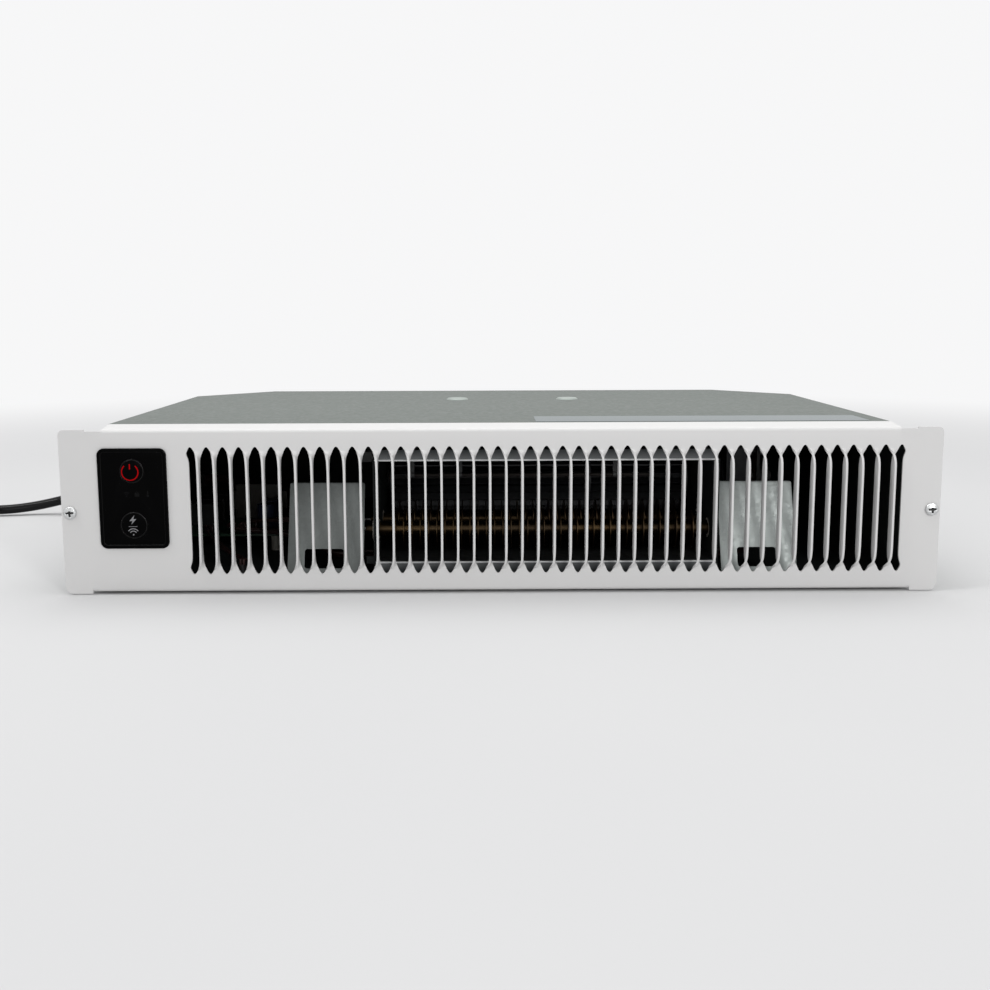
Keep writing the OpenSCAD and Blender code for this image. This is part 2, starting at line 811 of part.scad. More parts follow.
module fan_scroll() at_origin() color("#9a9f9c") along_x(mouth_x0, mouth_x1) {
    translate([mouth_back, base_top]) square([duct_t, mouth_rise]);
    translate([mouth_back, mouth_z0 - duct_t]) square([fan_back - mouth_back, duct_t]);
    ring_part(scroll_r, scroll_r + duct_t, fan_back, fan_z, -90, scroll_end_angle);
}

module duct_roof() at_origin() color("#9a9f9c") along_x(mouth_x0, mouth_x1) {
    reach = fan_dia / 2 + tongue_gap;
    tip = [fan_back - reach * cos(tongue_angle), fan_z + reach * sin(tongue_angle)];
    knee = mouth_back + roof_d;
    translate([mouth_back, mouth_z1]) square([roof_d, duct_t]);
    polygon([[knee, mouth_z1], tip, tip + [duct_t, duct_t], [knee + duct_t / 2, mouth_z1 + duct_t],
        [knee, mouth_z1 + duct_t]]);
    translate([mouth_back, mouth_z1]) square([duct_t, roof_flange]);
}

// A fan plate closes the duct at one side and carries the elements and the shaft; side is -1 or 1
module fan_plate(side) {
    x0 = side < 0 ? mouth_x0 - fan_plate_t : mouth_x1;
    x1 = x0 + fan_plate_t;
    back = mouth_back + fan_plate_d;
    foot_l = fan_plate_d * fan_foot_share;
    difference() {
        union() {
            along_x(x0, x1) polygon([[mouth_back, base_top], [back, base_top],
                [back, fan_plate_top - fan_plate_cut], [back - fan_plate_cut, fan_plate_top],
                [mouth_back + roof_d, fan_plate_top], [mouth_back + roof_d, mouth_z1 + duct_t],
                [mouth_back, mouth_z1 + duct_t]]);
            translate([side < 0 ? x0 - fan_foot_w : x1, back - foot_l, base_top])
                cube([fan_foot_w, foot_l, fan_plate_t]);
            if (side < 0) translate([x0 - tab_w, mouth_back, mouth_z0 - tab_low]) cube([tab_w, fan_plate_t, tab_h]);
        }
        for (y = element_places) bar_x(x0 - cut, x1 + cut, y, element_z, bush_body_dia + 2 * touch_gap);
        bar_x(x0 - cut, x1 + cut, fan_back, fan_z, grommet_dia - 2 * grommet_groove);
        bar_x(x0 - cut, x1 + cut, wire_hole_y, wire_hole_z, wire_hole_dia);
        if (side > 0) for (z = [-1, 1])
            bar_x(x0 - cut, x1 + cut, fan_back, fan_z + z * bracket_bolt, bolt_dia + 2 * touch_gap);
        fan_plate_screw_places(side) cylinder(d = foot_screw_dia, h = 2 * cut + fan_plate_t);
    }
}

module fan_plate_screw_places(side) {
    x = side < 0 ? mouth_x0 - fan_plate_t - fan_foot_w / 2 : mouth_x1 + fan_plate_t + fan_foot_w / 2;
    length = fan_plate_d * fan_foot_share;
    for (share = fan_screw_shares)
        translate([x, mouth_back + fan_plate_d - length * share, base_top - cut]) children();
}

module fan_plate_left() at_origin() color("#9a9f9c") fan_plate(-1);

module fan_plate_right() at_origin() color("#9a9f9c") fan_plate(1);

module foot_screw() {
    translate([0, 0, cut + fan_plate_t]) cylinder(d = foot_head_dia, h = foot_head_h);
    translate([0, 0, cut]) cylinder(d = foot_screw_dia - 2 * touch_gap, h = fan_plate_t);
}

module fan_plate_screws() at_origin() color("silver") for (side = [-1, 1])
    fan_plate_screw_places(side) foot_screw();

// Baffles: a plate that leans back, with a window, on a foot

module baffle(x0) {
    lean = atan(baffle_lean / baffle_h);
    slope = norm([baffle_lean, baffle_h]);
    translate([x0, baffle_front, base_top]) {
        difference() {
            rotate([-lean, 0, 0]) difference() {
                translate([0, 0, -baffle_t]) cube([baffle_w, baffle_t, slope + baffle_t]);
                translate([window_side, -cut, window_low]) cube([window_w, baffle_t + 2 * cut, window_h]);
            }
            translate([-cut, -baffle_h, -baffle_h]) cube([baffle_w + 2 * cut, 2 * baffle_h, baffle_h]);
        }
        difference() {
            cube([baffle_w, baffle_foot, baffle_t]);
            for (x = baffle_screw_shares) translate([baffle_w * x, baffle_foot * baffle_screw_share, -cut])
                cylinder(d = foot_screw_dia, h = baffle_t + 2 * cut);
        }
    }
}

module left_baffle() at_origin() color("#c9cdcc") baffle(baffle_x[0]);

module right_baffle() at_origin() color("#c9cdcc") baffle(baffle_x[1]);

module baffle_screws() at_origin() color("silver") for (x0 = baffle_x, x = baffle_screw_shares)
    translate([x0 + baffle_w * x, baffle_front + baffle_foot * baffle_screw_share, base_top + baffle_t]) {
        cylinder(d = foot_head_dia, h = foot_head_h);
        translate([0, 0, -baffle_t]) cylinder(d = foot_screw_dia - 2 * touch_gap, h = baffle_t);
    }

// Heating elements

module element(y) {
    over = fan_plate_t + element_over;
    count = floor((mouth_w - 2 * fin_margin) / fin_pitch) + 1;
    first = mouth_middle - (count - 1) * fin_pitch / 2;
    bar_x(mouth_x0 - over, mouth_x1 + over, y, element_z, element_dia);
    for (i = [0:count - 1]) bar_x(first + i * fin_pitch - fin_t / 2, first + i * fin_pitch + fin_t / 2,
        y, element_z, fin_dia);
}

module front_element() at_origin() color("#8c6f3c") element(element_places[0]);

module rear_element() at_origin() color("#8c6f3c") element(element_places[1]);

module element_bushes() at_origin() color("#e8e2d2") for (y = element_places, side = [-1, 1]) {
    face = side < 0 ? mouth_x0 - fan_plate_t : mouth_x1 + fan_plate_t;
    difference() {
        union() {
            bar_x(side < 0 ? face - bush_flange_t : face, side < 0 ? face : face + bush_flange_t,
                y, element_z, bush_flange_dia);
            bar_x(side < 0 ? face : face - fan_plate_t, side < 0 ? face + fan_plate_t : face,
                y, element_z, bush_body_dia);
        }
        bar_x(face - bush_flange_dia, face + bush_flange_dia, y, element_z, element_dia + 2 * touch_gap);
    }
}

module element_terminals() at_origin() color("silver") for (y = element_places, side = [-1, 1]) {
    face = side < 0 ? mouth_x0 - fan_plate_t - element_over : mouth_x1 + fan_plate_t + element_over;
    tip = face + side * terminal_l;
    bar_x(min(face, tip), max(face, tip), y, element_z, terminal_dia);
    box([min(tip, tip + side * terminal_l), y - terminal_tab_t / 2, element_z - terminal_tab_w / 2],
        [max(tip, tip + side * terminal_l), y + terminal_tab_t / 2, element_z + terminal_tab_w / 2]);
}

// Fan

module impeller() at_origin() color("#5c6166") {
    x0 = mouth_x0 + impeller_gap;
    x1 = mouth_x1 - impeller_gap;
    blade_l = fan_dia / 2 * blade_l_share;
    middle_discs = [x0 + (x1 - x0) / 3, x0 + (x1 - x0) * 2 / 3];
    difference() {
        for (x = concat([x0, x1 - disc_t], middle_discs)) bar_x(x, x + disc_t, fan_back, fan_z, fan_dia);
        for (x = middle_discs) bar_x(x - cut, x + disc_t + cut, fan_back, fan_z, fan_dia - 3 * blade_l);
        bar_x(x0 - cut, x1 + cut, fan_back, fan_z, shaft_dia + 2 * touch_gap);
    }
    difference() {
        bar_x(x1 - disc_t - hub_l, x1 - disc_t, fan_back, fan_z, hub_dia);
        bar_x(x0 - cut, x1 + cut, fan_back, fan_z, shaft_dia + 2 * touch_gap);
    }
    for (i = [0:blade_count - 1])
        translate([x0 + disc_t, fan_back, fan_z]) rotate([360 * i / blade_count, 0, 0])
        translate([0, fan_dia / 2 - blade_l / 2, 0]) rotate([blade_angle, 0, 0])
        translate([0, blade_t - blade_l / 2, -blade_t / 2])
        cube([x1 - x0 - 2 * disc_t, blade_l - 2 * blade_t, blade_t]);
}

module fan_shaft() at_origin() color("silver") bar_x(shaft_x0, shaft_x1, fan_back, fan_z, shaft_dia);

module shaft_bush() at_origin() color("#b08d57") difference() {
    bar_x(mouth_x0 - fan_plate_t / 2 - bush_l / 2, mouth_x0 - fan_plate_t / 2 + bush_l / 2 - impeller_gap / 2,
        fan_back, fan_z, bush_dia);
    bar_x(mouth_x0 - bush_l, mouth_x0 + bush_l, fan_back, fan_z, shaft_dia + 2 * running_gap);
}

module bush_grommet() at_origin() color("#1c1c1c") {
    middle = mouth_x0 - fan_plate_t / 2;
    difference() {
        union() {
            bar_x(middle - grommet_l / 2, middle - fan_plate_t / 2 - touch_gap, fan_back, fan_z, grommet_dia);
            bar_x(middle - grommet_l / 2, middle + fan_plate_t, fan_back, fan_z,
                grommet_dia - 2 * grommet_groove - 2 * touch_gap);
            bar_x(middle + fan_plate_t / 2 + touch_gap, middle + grommet_l / 2 - impeller_gap / 3,
                fan_back, fan_z, grommet_dia);
        }
        bar_x(middle - grommet_l, middle + grommet_l, fan_back, fan_z, bush_dia + 2 * touch_gap);
    }
}

module motor_rotor() at_origin() color("#9fa3a6") difference() {
    bar_x(stator_x - rotor_over, stator_x + stator_l + rotor_over, fan_back, fan_z, rotor_dia);
    bar_x(stator_x - cut - bush_l, stator_x + stator_l + bush_l, fan_back, fan_z, shaft_dia + 2 * touch_gap);
}

module motor_stator() at_origin() color("#5a5d60") difference() {
    along_x(stator_x, stator_x + stator_l) difference() {
        translate([fan_back - stator_front, fan_z - stator_hh])
            square([stator_front + stator_rear, 2 * stator_hh]);
        translate([fan_back + stator_rear - limb_t - stator_window, fan_z - stator_window_hh])
            square([stator_window, 2 * stator_window_hh]);
        translate([fan_back, fan_z]) circle(d = rotor_dia + 2 * air_gap);
    }
    for (z = [-1, 1]) bar_x(stator_x - cut, stator_x + stator_l + cut, fan_back, fan_z + z * bracket_bolt,
        bolt_dia + 2 * touch_gap);
}

module motor_coil() at_origin() color("#b5652a") {
    y0 = fan_back + stator_rear - limb_t;
    y1 = fan_back + stator_rear;
    reach = stator_window_hh - coil_gap;
    difference() {
        box([stator_x - coil_wall, y0 - coil_wall, fan_z - reach],
            [stator_x + stator_l + coil_wall, y1 + coil_wall, fan_z + reach]);
        box([stator_x - coil_gap, y0 - coil_gap, fan_z - reach - cut],
            [stator_x + stator_l + coil_gap, y1 + coil_gap, fan_z + reach + cut]);
    }
}

module motor_brackets() at_origin() color("#a7abad") for (side = [-1, 1]) {
    face = side < 0 ? stator_x : stator_x + stator_l;
    outer = face + side * bracket_off;
    boss = outer + side * boss_l;
    difference() {
        union() {
            box([min(outer, outer - side * bracket_t), fan_back - bracket_w / 2, fan_z - stator_hh],
                [max(outer, outer - side * bracket_t), fan_back + bracket_w / 2, fan_z + stator_hh]);
            bar_x(min(outer, boss), max(outer, boss), fan_back, fan_z, boss_dia);
            for (z = [-1, 1]) bar_x(min(face, outer), max(face, outer), fan_back, fan_z + z * bracket_bolt,
                spacer_dia);
        }
        bar_x(outer - boss_l - cut, outer + boss_l + cut, fan_back, fan_z, motor_bush_dia + 2 * touch_gap);
        for (z = [-1, 1]) bar_x(outer - bracket_off - boss_l, outer + bracket_off + boss_l, fan_back,
            fan_z + z * bracket_bolt, bolt_dia + 2 * touch_gap);
    }
}

module motor_bushes() at_origin() color("#b08d57") for (side = [-1, 1]) {
    outer = (side < 0 ? stator_x : stator_x + stator_l) + side * (bracket_off - bracket_t);
    boss = outer + side * boss_l;
    difference() {
        bar_x(min(outer, boss), max(outer, boss), fan_back, fan_z, motor_bush_dia);
        bar_x(min(outer, boss) - cut, max(outer, boss) + cut, fan_back, fan_z, shaft_dia + 2 * running_gap);
    }
}

module motor_spacers() at_origin() color("silver") for (z = [-1, 1]) difference() {
    bar_x(mouth_x1 + fan_plate_t, stator_x - bracket_off, fan_back, fan_z + z * bracket_bolt, spacer_dia);
    bar_x(mouth_x1, stator_x, fan_back, fan_z + z * bracket_bolt, bolt_dia + 2 * touch_gap);
}

module motor_screws() at_origin() color("silver") for (z = [-1, 1]) {
    end = stator_x + stator_l + bracket_off;
    bar_x(mouth_x1, end, fan_back, fan_z + z * bracket_bolt, bolt_dia);
    bar_x(end, end + bolt_head_h, fan_back, fan_z + z * bracket_bolt, bolt_head_dia);
}

// Safety parts and sensors

module thermal_cutout() at_origin() color("#2a2a2c") {
    x = mouth_x0 - fan_plate_t;
    y = fan_back - fan_dia / 2;
    z = fan_plate_top - cutout_dia;
    bar_x(x - cutout_h, x, y, z, cutout_dia);
    for (k = [-1, 1]) box([x - cutout_h - cutout_tab, y + k * cutout_dia / 4, z - terminal_tab_w / 2],
        [x - cutout_h, y + k * cutout_dia / 4 + terminal_tab_t, z + terminal_tab_w / 2]);
}

module thermal_fuse() at_origin() color("#c9b68a")
    bar_y(fan_back + fuse_dia, fan_back + fuse_dia + fuse_l, mouth_x0 - fan_plate_t - fuse_dia / 2,
        fan_plate_top - cutout_dia, fuse_dia);

module sensor_bulb() at_origin() color("#8f8c80") bar_x(bulb_x0, bulb_x0 + bulb_l, bulb_y, bulb_z, bulb_dia);

module sensor_clips() at_origin() color("#9a9f9c") for (share = clip_shares) {
    x = bulb_x0 + bulb_l * share;
    difference() {
        union() {
            box([x - clip_w / 2, bulb_y - clip_t / 2, bulb_z],
                [x + clip_w / 2, bulb_y + clip_t / 2, mouth_z1]);
            bar_x(x - clip_w / 2, x + clip_w / 2, bulb_y, bulb_z, bulb_dia + 2 * clip_t);
        }
        bar_x(x - clip_w, x + clip_w, bulb_y, bulb_z, bulb_dia + 2 * touch_gap);
    }
}

module room_sensor() at_origin() color("#1c1c1c") translate(sensor_place) {
    cylinder(d = 2 * sensor_dia, h = sheet_t);
    cylinder(d = sensor_dia, h = sensor_l);
}

// Control panel

module control_panel() at_origin() color("#151515") {
    back = panel_d;
    inner = panel_edge + panel_wall;
    difference() {
        union() {
            upright(-panel_proud, -touch_gap) rounded(panel_x0, panel_x1, panel_z0, panel_z1, panel_r);
            upright(-touch_gap, back) rounded(panel_x0 + panel_edge, panel_x1 - panel_edge,
                panel_z0 + panel_edge, panel_z1 - panel_edge, panel_r - panel_edge);
        }
        upright(-panel_proud - cut, -panel_proud + panel_recess)
            rounded(panel_x0 + panel_rim, panel_x1 - panel_rim,
            panel_z0 + panel_rim, panel_z1 - panel_rim, panel_r - panel_rim);
        upright(panel_face_t - panel_proud, back + cut)
            translate([panel_x0 + inner, panel_z0 + inner])
            square([panel_w - 2 * inner, panel_h - 2 * inner]);
        button_places() translate([0, 0, -cut])
            cylinder(d = $button_dia + 2 * button_gap, h = panel_face_t + 2 * cut);
    }
    for (x = [panel_x0 + inner + post_dia / 2, panel_x1 - inner - post_dia / 2],
        z = [panel_z0 + inner + post_dia / 2, panel_z1 - inner - post_dia / 2])
        bar_y(panel_face_t - panel_proud, panel_board_back - board_t, x, z, post_dia);
}

// Each button's own place: the panel's front face, looking back, with $button_dia set
module button_places() {
    for (b = [[power_z, power_dia], [mode_z, mode_dia]]) {
        $button_dia = b[1];
        translate([panel_mid, -panel_proud, b[0]]) rotate([-90, 0, 0]) children();
    }
}

module button(z, dia) {
    dome_r = (pow(dia / 2, 2) + pow(button_dome, 2)) / (2 * button_dome);
    translate([panel_mid, 0, z]) rotate([-90, 0, 0]) {
        translate([0, 0, -panel_proud]) cylinder(d = dia, h = collar_front + panel_proud + collar_t);
        translate([0, 0, collar_front]) cylinder(d = dia + 2 * collar_w, h = collar_t);
        intersection() {
            translate([0, 0, dome_r - button_dome - panel_proud]) sphere(r = dome_r);
            translate([0, 0, -button_dome - panel_proud]) cylinder(d = dia, h = button_dome);
        }
        cylinder(d = plunger_dia + cut, h = button_back);
        cylinder(d = plunger_dia, h = button_back + switch_lip + cut);
    }
}

module power_button() at_origin() color("#101010") button(power_z, power_dia);

module mode_button() at_origin() color("#101010") button(mode_z, mode_dia);

module panel_board() at_origin() color("#14301f") {
    inner = panel_edge + panel_wall + touch_gap;
    box([panel_x0 + inner, panel_board_back - board_t, panel_z0 + inner],
        [panel_x1 - inner, panel_board_back, panel_z1 - inner]);
}

module panel_switches() at_origin() color("#2b2b2b") for (z = [power_z, mode_z]) difference() {
    box([panel_mid - switch_w / 2, switch_front, z - switch_w / 2],
        [panel_mid + switch_w / 2, panel_board_back - board_t, z + switch_w / 2]);
    bar_y(switch_front - cut, switch_front + cut + button_travel + small_gap, panel_mid, z,
        plunger_dia + 4 * touch_gap);
}

// Power electronics

module power_board() at_origin() color("#14301f") difference() {
    translate([board_x0, board_back, board_z]) cube([board_w, board_l, board_t]);
    standoff_places() translate([0, 0, board_z - cut]) cylinder(d = foot_screw_dia, h = board_t + 2 * cut);
}

module standoff_places() {
    for (x = [board_corner, board_w - board_corner], y = [board_corner, board_l - board_corner])
        translate([board_x0 + x, board_back + y, 0]) children();
}

module board_standoffs() at_origin() color("#d8d4c8") standoff_places() {
    translate([0, 0, base_top]) cylinder(d = standoff_dia, h = board_rise);
    translate([0, 0, board_z]) cylinder(d = foot_screw_dia - 2 * touch_gap, h = board_t);
    translate([0, 0, board_top]) cylinder(d = foot_head_dia, h = foot_head_h);
}

module board_relays() at_origin() color("#161616") for (k = [0:relay_count - 1])
    translate([board_x0 + relay_side, board_back + relay_front + k * relay_step, board_top])
    cube([relay_w, relay_d, relay_h]);

module board_transformer() at_origin() color("#2b2620") {
    x = board_x0 + board_w - transformer_w - 2 * board_corner;
    y = board_back + board_l - transformer_d - 2 * board_corner;
    translate([x, y, board_top]) cube([transformer_w, transformer_d, transformer_h]);
    translate([x - 2 * board_t, y + transformer_d / 4, board_top + transformer_h / 4])
        cube([transformer_w + 4 * board_t, transformer_d / 2, transformer_h / 2]);
}

module board_capacitors() at_origin() color("#2c3a58") for (share = capacitor_shares)
    translate([board_x0 + board_w - capacitor_dia, board_back + share * capacitor_dia, board_top])
    cylinder(d = capacitor_dia, h = capacitor_h);

module terminal_block() at_origin() color("#ece7da") difference() {
    translate([block_x0, block_y0, base_top]) cube([block_w, block_d, block_h]);
    for (x = block_poles) {
        translate([x, block_y0 + block_d / 2, base_top + block_h / 2])
            cylinder(d = block_screw_dia, h = block_h);
        bar_y(block_y0 - cut, block_y0 + block_d / 4, x, base_top + block_h / 3, block_screw_dia);
        bar_y(block_y0 + block_d * 3 / 4, block_y0 + block_d + cut, x, base_top + block_h / 3,
            block_screw_dia);
    }
}

module earth_screw() at_origin() color("#b08d57") translate([earth_x, earth_y, base_top]) {
    cylinder(d = earth_dia, h = earth_h);
    cylinder(d = earth_nut, h = earth_h / 4, $fn = 6);
    translate([0, 0, earth_h / 4 + touch_gap]) cylinder(d = earth_nut * earth_tag_share, h = earth_tag_t);
}

// Wiring inside the casing, held at both ends

// The end of a wire that goes down into a board at x, y
function into_board(x, y, dia) = [[x, y, board_top + 3 * dia], [x, y, board_top + loom_gap]];

module supply_wiring() at_origin() {
    z = base_top + block_h / 3;
    front = block_y0 + block_d / 4 - loom_gap;
    back = block_y0 + block_d * 3 / 4 + loom_gap;
    tail = exit_x + sheet_t + relief_nut_t;
    board_y = board_back + board_l - board_corner;
    color("#202020") bar_x(tail, tail + tail_l, exit_y, exit_h, cord_dia);
    for (k = [0:2]) color(["#6b3b1d", "#2c5fa8", "#4f8f3a"][k]) {
        x = block_poles[k];
        core = [tail + tail_l, exit_y + core_off * cos(120 * k), exit_h + core_off * sin(120 * k)];
        wire([core, core + [2 * wire_dia, 0, 0],
            [x, (exit_y + back + block_d) / 2, (exit_h + z) / 2 + wire_dia],
            [x, back + block_d / 2, z], [x, back, z]], wire_dia);
    }
    for (k = [0:1]) color(["#6b3b1d", "#2c5fa8"][k]) let (x = block_poles[k])
        wire(concat([[x, front, z], [x, block_y0 - wire_dia, z],
        [x, board_back + board_l, board_top + 3 * wire_dia]], into_board(x, board_y, wire_dia)), wire_dia);
    color("#4f8f3a") wire([[block_poles[2], front, z], [block_poles[2], block_y0 - wire_dia, z],
        [block_poles[2] + block_pole, block_y0 - 1.5 * wire_dia, z + wire_dia],
        [earth_x - earth_nut, earth_y - block_d / 2, base_top + earth_h * earth_wire_shares[1]],
        [earth_x, earth_y - earth_nut * earth_wire_shares[0], base_top + earth_h / 2]], wire_dia);
}

// Two wires from the left terminals, and two from the right that pass under the duct
module element_wiring() at_origin() {
    reach = fan_plate_t + element_over + 2 * terminal_l;
    left = mouth_x0 - reach;
    right = mouth_x1 + reach;
    step = 3 * wire_dia;
    entry_x = board_x0 + board_w - 2 * board_corner - 3 * step;
    entry_y = max(board_back, element_places[1] + board_clear) + wire_dia;
    edge_x = board_x0 + board_w;
    for (k = [0, 1]) {
        y = element_places[k];
        near_x = entry_x + (2 + k) * step;
        color("#a83226") wire(concat([[left - loom_gap, y, element_z], [left - 2 * wire_dia, y, element_z],
            [left - 8 * wire_dia, (y + entry_y) / 2, element_z],
            [near_x, entry_y - 3 * wire_dia, board_top + 4 * wire_dia]],
            into_board(near_x, entry_y, wire_dia)), wire_dia);
        low = wire_hole_z + (k - 1 / 2) * (wire_dia + loom_gap);
        far_x = entry_x + (1 - k) * step;
        color("#202020") wire(concat([[right + loom_gap, y, element_z], [right + 2 * wire_dia, y, element_z],
            [right + 3 * wire_dia, (y + wire_hole_y) / 2, (element_z + low) / 2],
            [right - 2 * wire_dia, wire_hole_y, low], [mouth_x1 + wire_hole_dia, wire_hole_y, low],
            [mouth_middle, wire_hole_y, low], [mouth_x0 - wire_hole_dia, wire_hole_y, low],
            [left - 2 * wire_dia, wire_hole_y + (1 / 2 - k) * step, low],
            [edge_x + 2 * step, (wire_hole_y + entry_y) / 2 - k * step, board_top + wire_dia],
            [far_x, entry_y - 3 * wire_dia, board_top + 2 * wire_dia]],
            into_board(far_x, entry_y, wire_dia)), wire_dia);
    }
}

// Two wires from the motor's coil, behind the fan and along the base
module motor_wiring() at_origin() for (k = [0, 1]) color(["#d8d8d8", "#2c5fa8"][k]) {
    coil_back = fan_back + stator_rear + coil_wall;
    x = stator_x + stator_l * k;
    z = fan_z - stator_hh / 3;
    low = base_top + 3 * thin_wire;
    step = 3 * thin_wire;
    run_y = coil_back + (3 + k) * step;
    edge_x = board_x0 + board_w;
    end_y = board_back + board_l * motor_end_share + k * step;
    wire(concat([[x, coil_back + loom_gap, z], [x, coil_back + step, z], [x - step, run_y, fan_z / 2],
        [x - 3 * step, run_y, low], [mouth_middle, run_y, low], [mouth_x0, run_y, low],
        [edge_x + (3 - k) * step, run_y, low], [edge_x + (2 - k) * step, end_y + step, board_top + step]],
        into_board(edge_x - step / 2, end_y, thin_wire)), thin_wire);
}

module panel_wiring() at_origin() for (k = [-1, 0, 1]) color(["#d8d8d8", "#a83226", "#202020"][k + 1]) {
    x = panel_mid + k * 2 * thin_wire;
    z = (panel_z0 + panel_z1) / 2;
    wire(concat([[x, panel_board_back + loom_gap, z], [x, panel_board_back + 6 * thin_wire, z],
        [x, (panel_board_back + board_back) / 2, (z + board_top) / 2],
        [x, board_back, board_top + 4 * thin_wire]],
        into_board(x, board_back + 3 * thin_wire, thin_wire)), thin_wire);
}

module sensor_wiring() at_origin() color("#202020") for (k = [-1, 1]) {
    p = sensor_place;
    x = p[0] + k * thin_wire * 2 / 3;
    end_x = board_x0 + board_w * sensor_end_share + k * thin_wire;
    wire(concat([[x, p[1], p[2] + sensor_l + loom_gap / 3], [x, p[1], p[2] + sensor_l + 2 * thin_wire],
        [x, p[1] + 8 * thin_wire, p[2] + sensor_l], [(x + end_x) / 2, (p[1] + board_back) / 2, board_z],
        [end_x, board_back - 3 * thin_wire, board_top + 3 * thin_wire]],
        into_board(end_x, board_back + 2 * thin_wire, thin_wire)), thin_wire);
}

// Mains lead

module strain_relief() at_origin() color("#161616") {
    bar_x(exit_x - relief_flange_t, exit_x, exit_y, exit_h, relief_flange_dia);
    bar_x(exit_x, exit_x + sheet_t + relief_nut_t, exit_y, exit_h, relief_hole_dia - 2 * touch_gap);
    translate([exit_x + sheet_t, exit_y, exit_h]) rotate([0, 90, 0])
        cylinder(d = relief_flange_dia, h = relief_nut_t, $fn = 6);
    translate([relief_end, exit_y, exit_h]) rotate([0, 90, 0])
        cylinder(d1 = relief_tip, d2 = relief_big, h = relief_l);
    for (i = [1:relief_ribs]) {
        share = i / (relief_ribs + 1);
        x = relief_end + relief_l * share;
        bar_x(x - relief_rib_rise, x + relief_rib_rise, exit_y, exit_h,
            relief_tip + (relief_big - relief_tip) * share + 2 * relief_rib_rise);
    }
}

module mains_cord() at_origin() color("#101010") sweep(cord_route, cord_dia, cord_sides);

// The coil's middle line, from the lead to the plug
function coil_point(i) = let (turn = i / coil_steps, angle = 90 + 360 * turn, half = coil_turns / 2,
    r = coil_r - coil_pitch * (turn < half ? turn : coil_turns - turn),
    climb = min(max((turn - half) / coil_climb_share + 1 / 2, 0), 1))
    [coil_middle[0] + r * cos(angle), coil_middle[1] + r * sin(angle), coil_z + coil_layer * climb];
coil_line = [coil_start, for (i = [0:coil_count]) coil_point(i), [plug_x, plug_y, plug_cord_z]];
function line_length(p, i = 1) = i >= len(p) ? 0 : norm(p[i] - p[i - 1]) + line_length(p, i + 1);
least_gap = min([for (i = [0:coil_count - coil_steps / 2], j = [i + coil_steps / 2:coil_count])
    norm(coil_point(i) - coil_point(j))]) - cord_dia;
echo("least gap between the coil's turns", least_gap);
echo("length of the lead outside the casing", line_length(cord_route) + line_length(coil_line));

module cord_coil() at_origin() color("#101010") sweep(coil_line, cord_dia, coil_sides);

// A strap round the bundle of turns, lying on the floor
module cord_tie() at_origin() color("#2a2a2a") {
    in = coil_inner_r - cord_dia / 2 - tie_gap;
    out = coil_r + cord_dia / 2 + tie_gap;
    low = coil_z - cord_dia / 2 - tie_gap;
    high = coil_z + coil_layer + cord_dia / 2 + tie_gap;
    translate(coil_middle) rotate(tie_angle) upright(-tie_w / 2, tie_w / 2) difference() {
        rounded(in - tie_t, out + tie_t, low - tie_t, high + tie_t, 2 * tie_t);
        rounded(in, out, low, high, tie_t);
    }
}

module plug_body() at_origin() color("#141414") translate([plug_x, plug_y, 0]) {
    end = -plug_boot_l - plug_l;
    linear_extrude(plug_h - plug_rib) rounded(-plug_w / 2, plug_w / 2, end, -plug_boot_l, plug_r);
    linear_extrude(plug_h) rounded(plug_rib - plug_w / 2, plug_w / 2 - plug_rib, end + plug_rib,
        -plug_boot_l - plug_rib, plug_r - plug_rib);
    translate([0, 0, plug_cord_z]) rotate([90, 0, 0])
        cylinder(d1 = cord_dia + 2 * touch_gap, d2 = plug_boot_dia, h = plug_boot_l);
}

module plug_pins() at_origin() color("#c9a24a") translate([plug_x, plug_y - plug_boot_l - plug_l, plug_h]) {
    translate([-pin_t / 2, earth_pin_back - earth_pin_w / 2, 0]) cube([pin_t, earth_pin_w, earth_pin_l]);
    for (x = [-1, 1]) translate([x * pin_spacing / 2 - pin_w / 2, live_pin_back - pin_t / 2, 0])
        cube([pin_w, pin_t, pin_l]);
}

casing_tray();
top_cover();
cover_screws();
grille_brackets();
front_grille();
grille_screws();
rubber_feet();
rating_label();
fan_scroll();
duct_roof();
fan_plate_left();
fan_plate_right();
fan_plate_screws();
left_baffle();
right_baffle();
baffle_screws();
front_element();
rear_element();
element_bushes();
element_terminals();
impeller();
fan_shaft();
shaft_bush();
bush_grommet();
motor_rotor();
motor_stator();
motor_coil();
motor_brackets();
motor_bushes();
motor_spacers();
motor_screws();
thermal_cutout();
thermal_fuse();
sensor_bulb();
sensor_clips();
room_sensor();
control_panel();
power_button();
mode_button();
panel_board();
panel_switches();
power_board();
board_standoffs();
board_relays();
board_transformer();
board_capacitors();
terminal_block();
earth_screw();
supply_wiring();
element_wiring();
motor_wiring();
panel_wiring();
sensor_wiring();
strain_relief();
mains_cord();
cord_coil();
cord_tie();
plug_body();
plug_pins();
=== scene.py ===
"""Looks of the plinth heater: sheet casing, grille with twisted bars, control panel and coiled lead."""
from math import atan, copysign, cos, hypot, pi, radians, sin, sqrt, tan

import bmesh
import bpy
from mathutils import Matrix, Vector


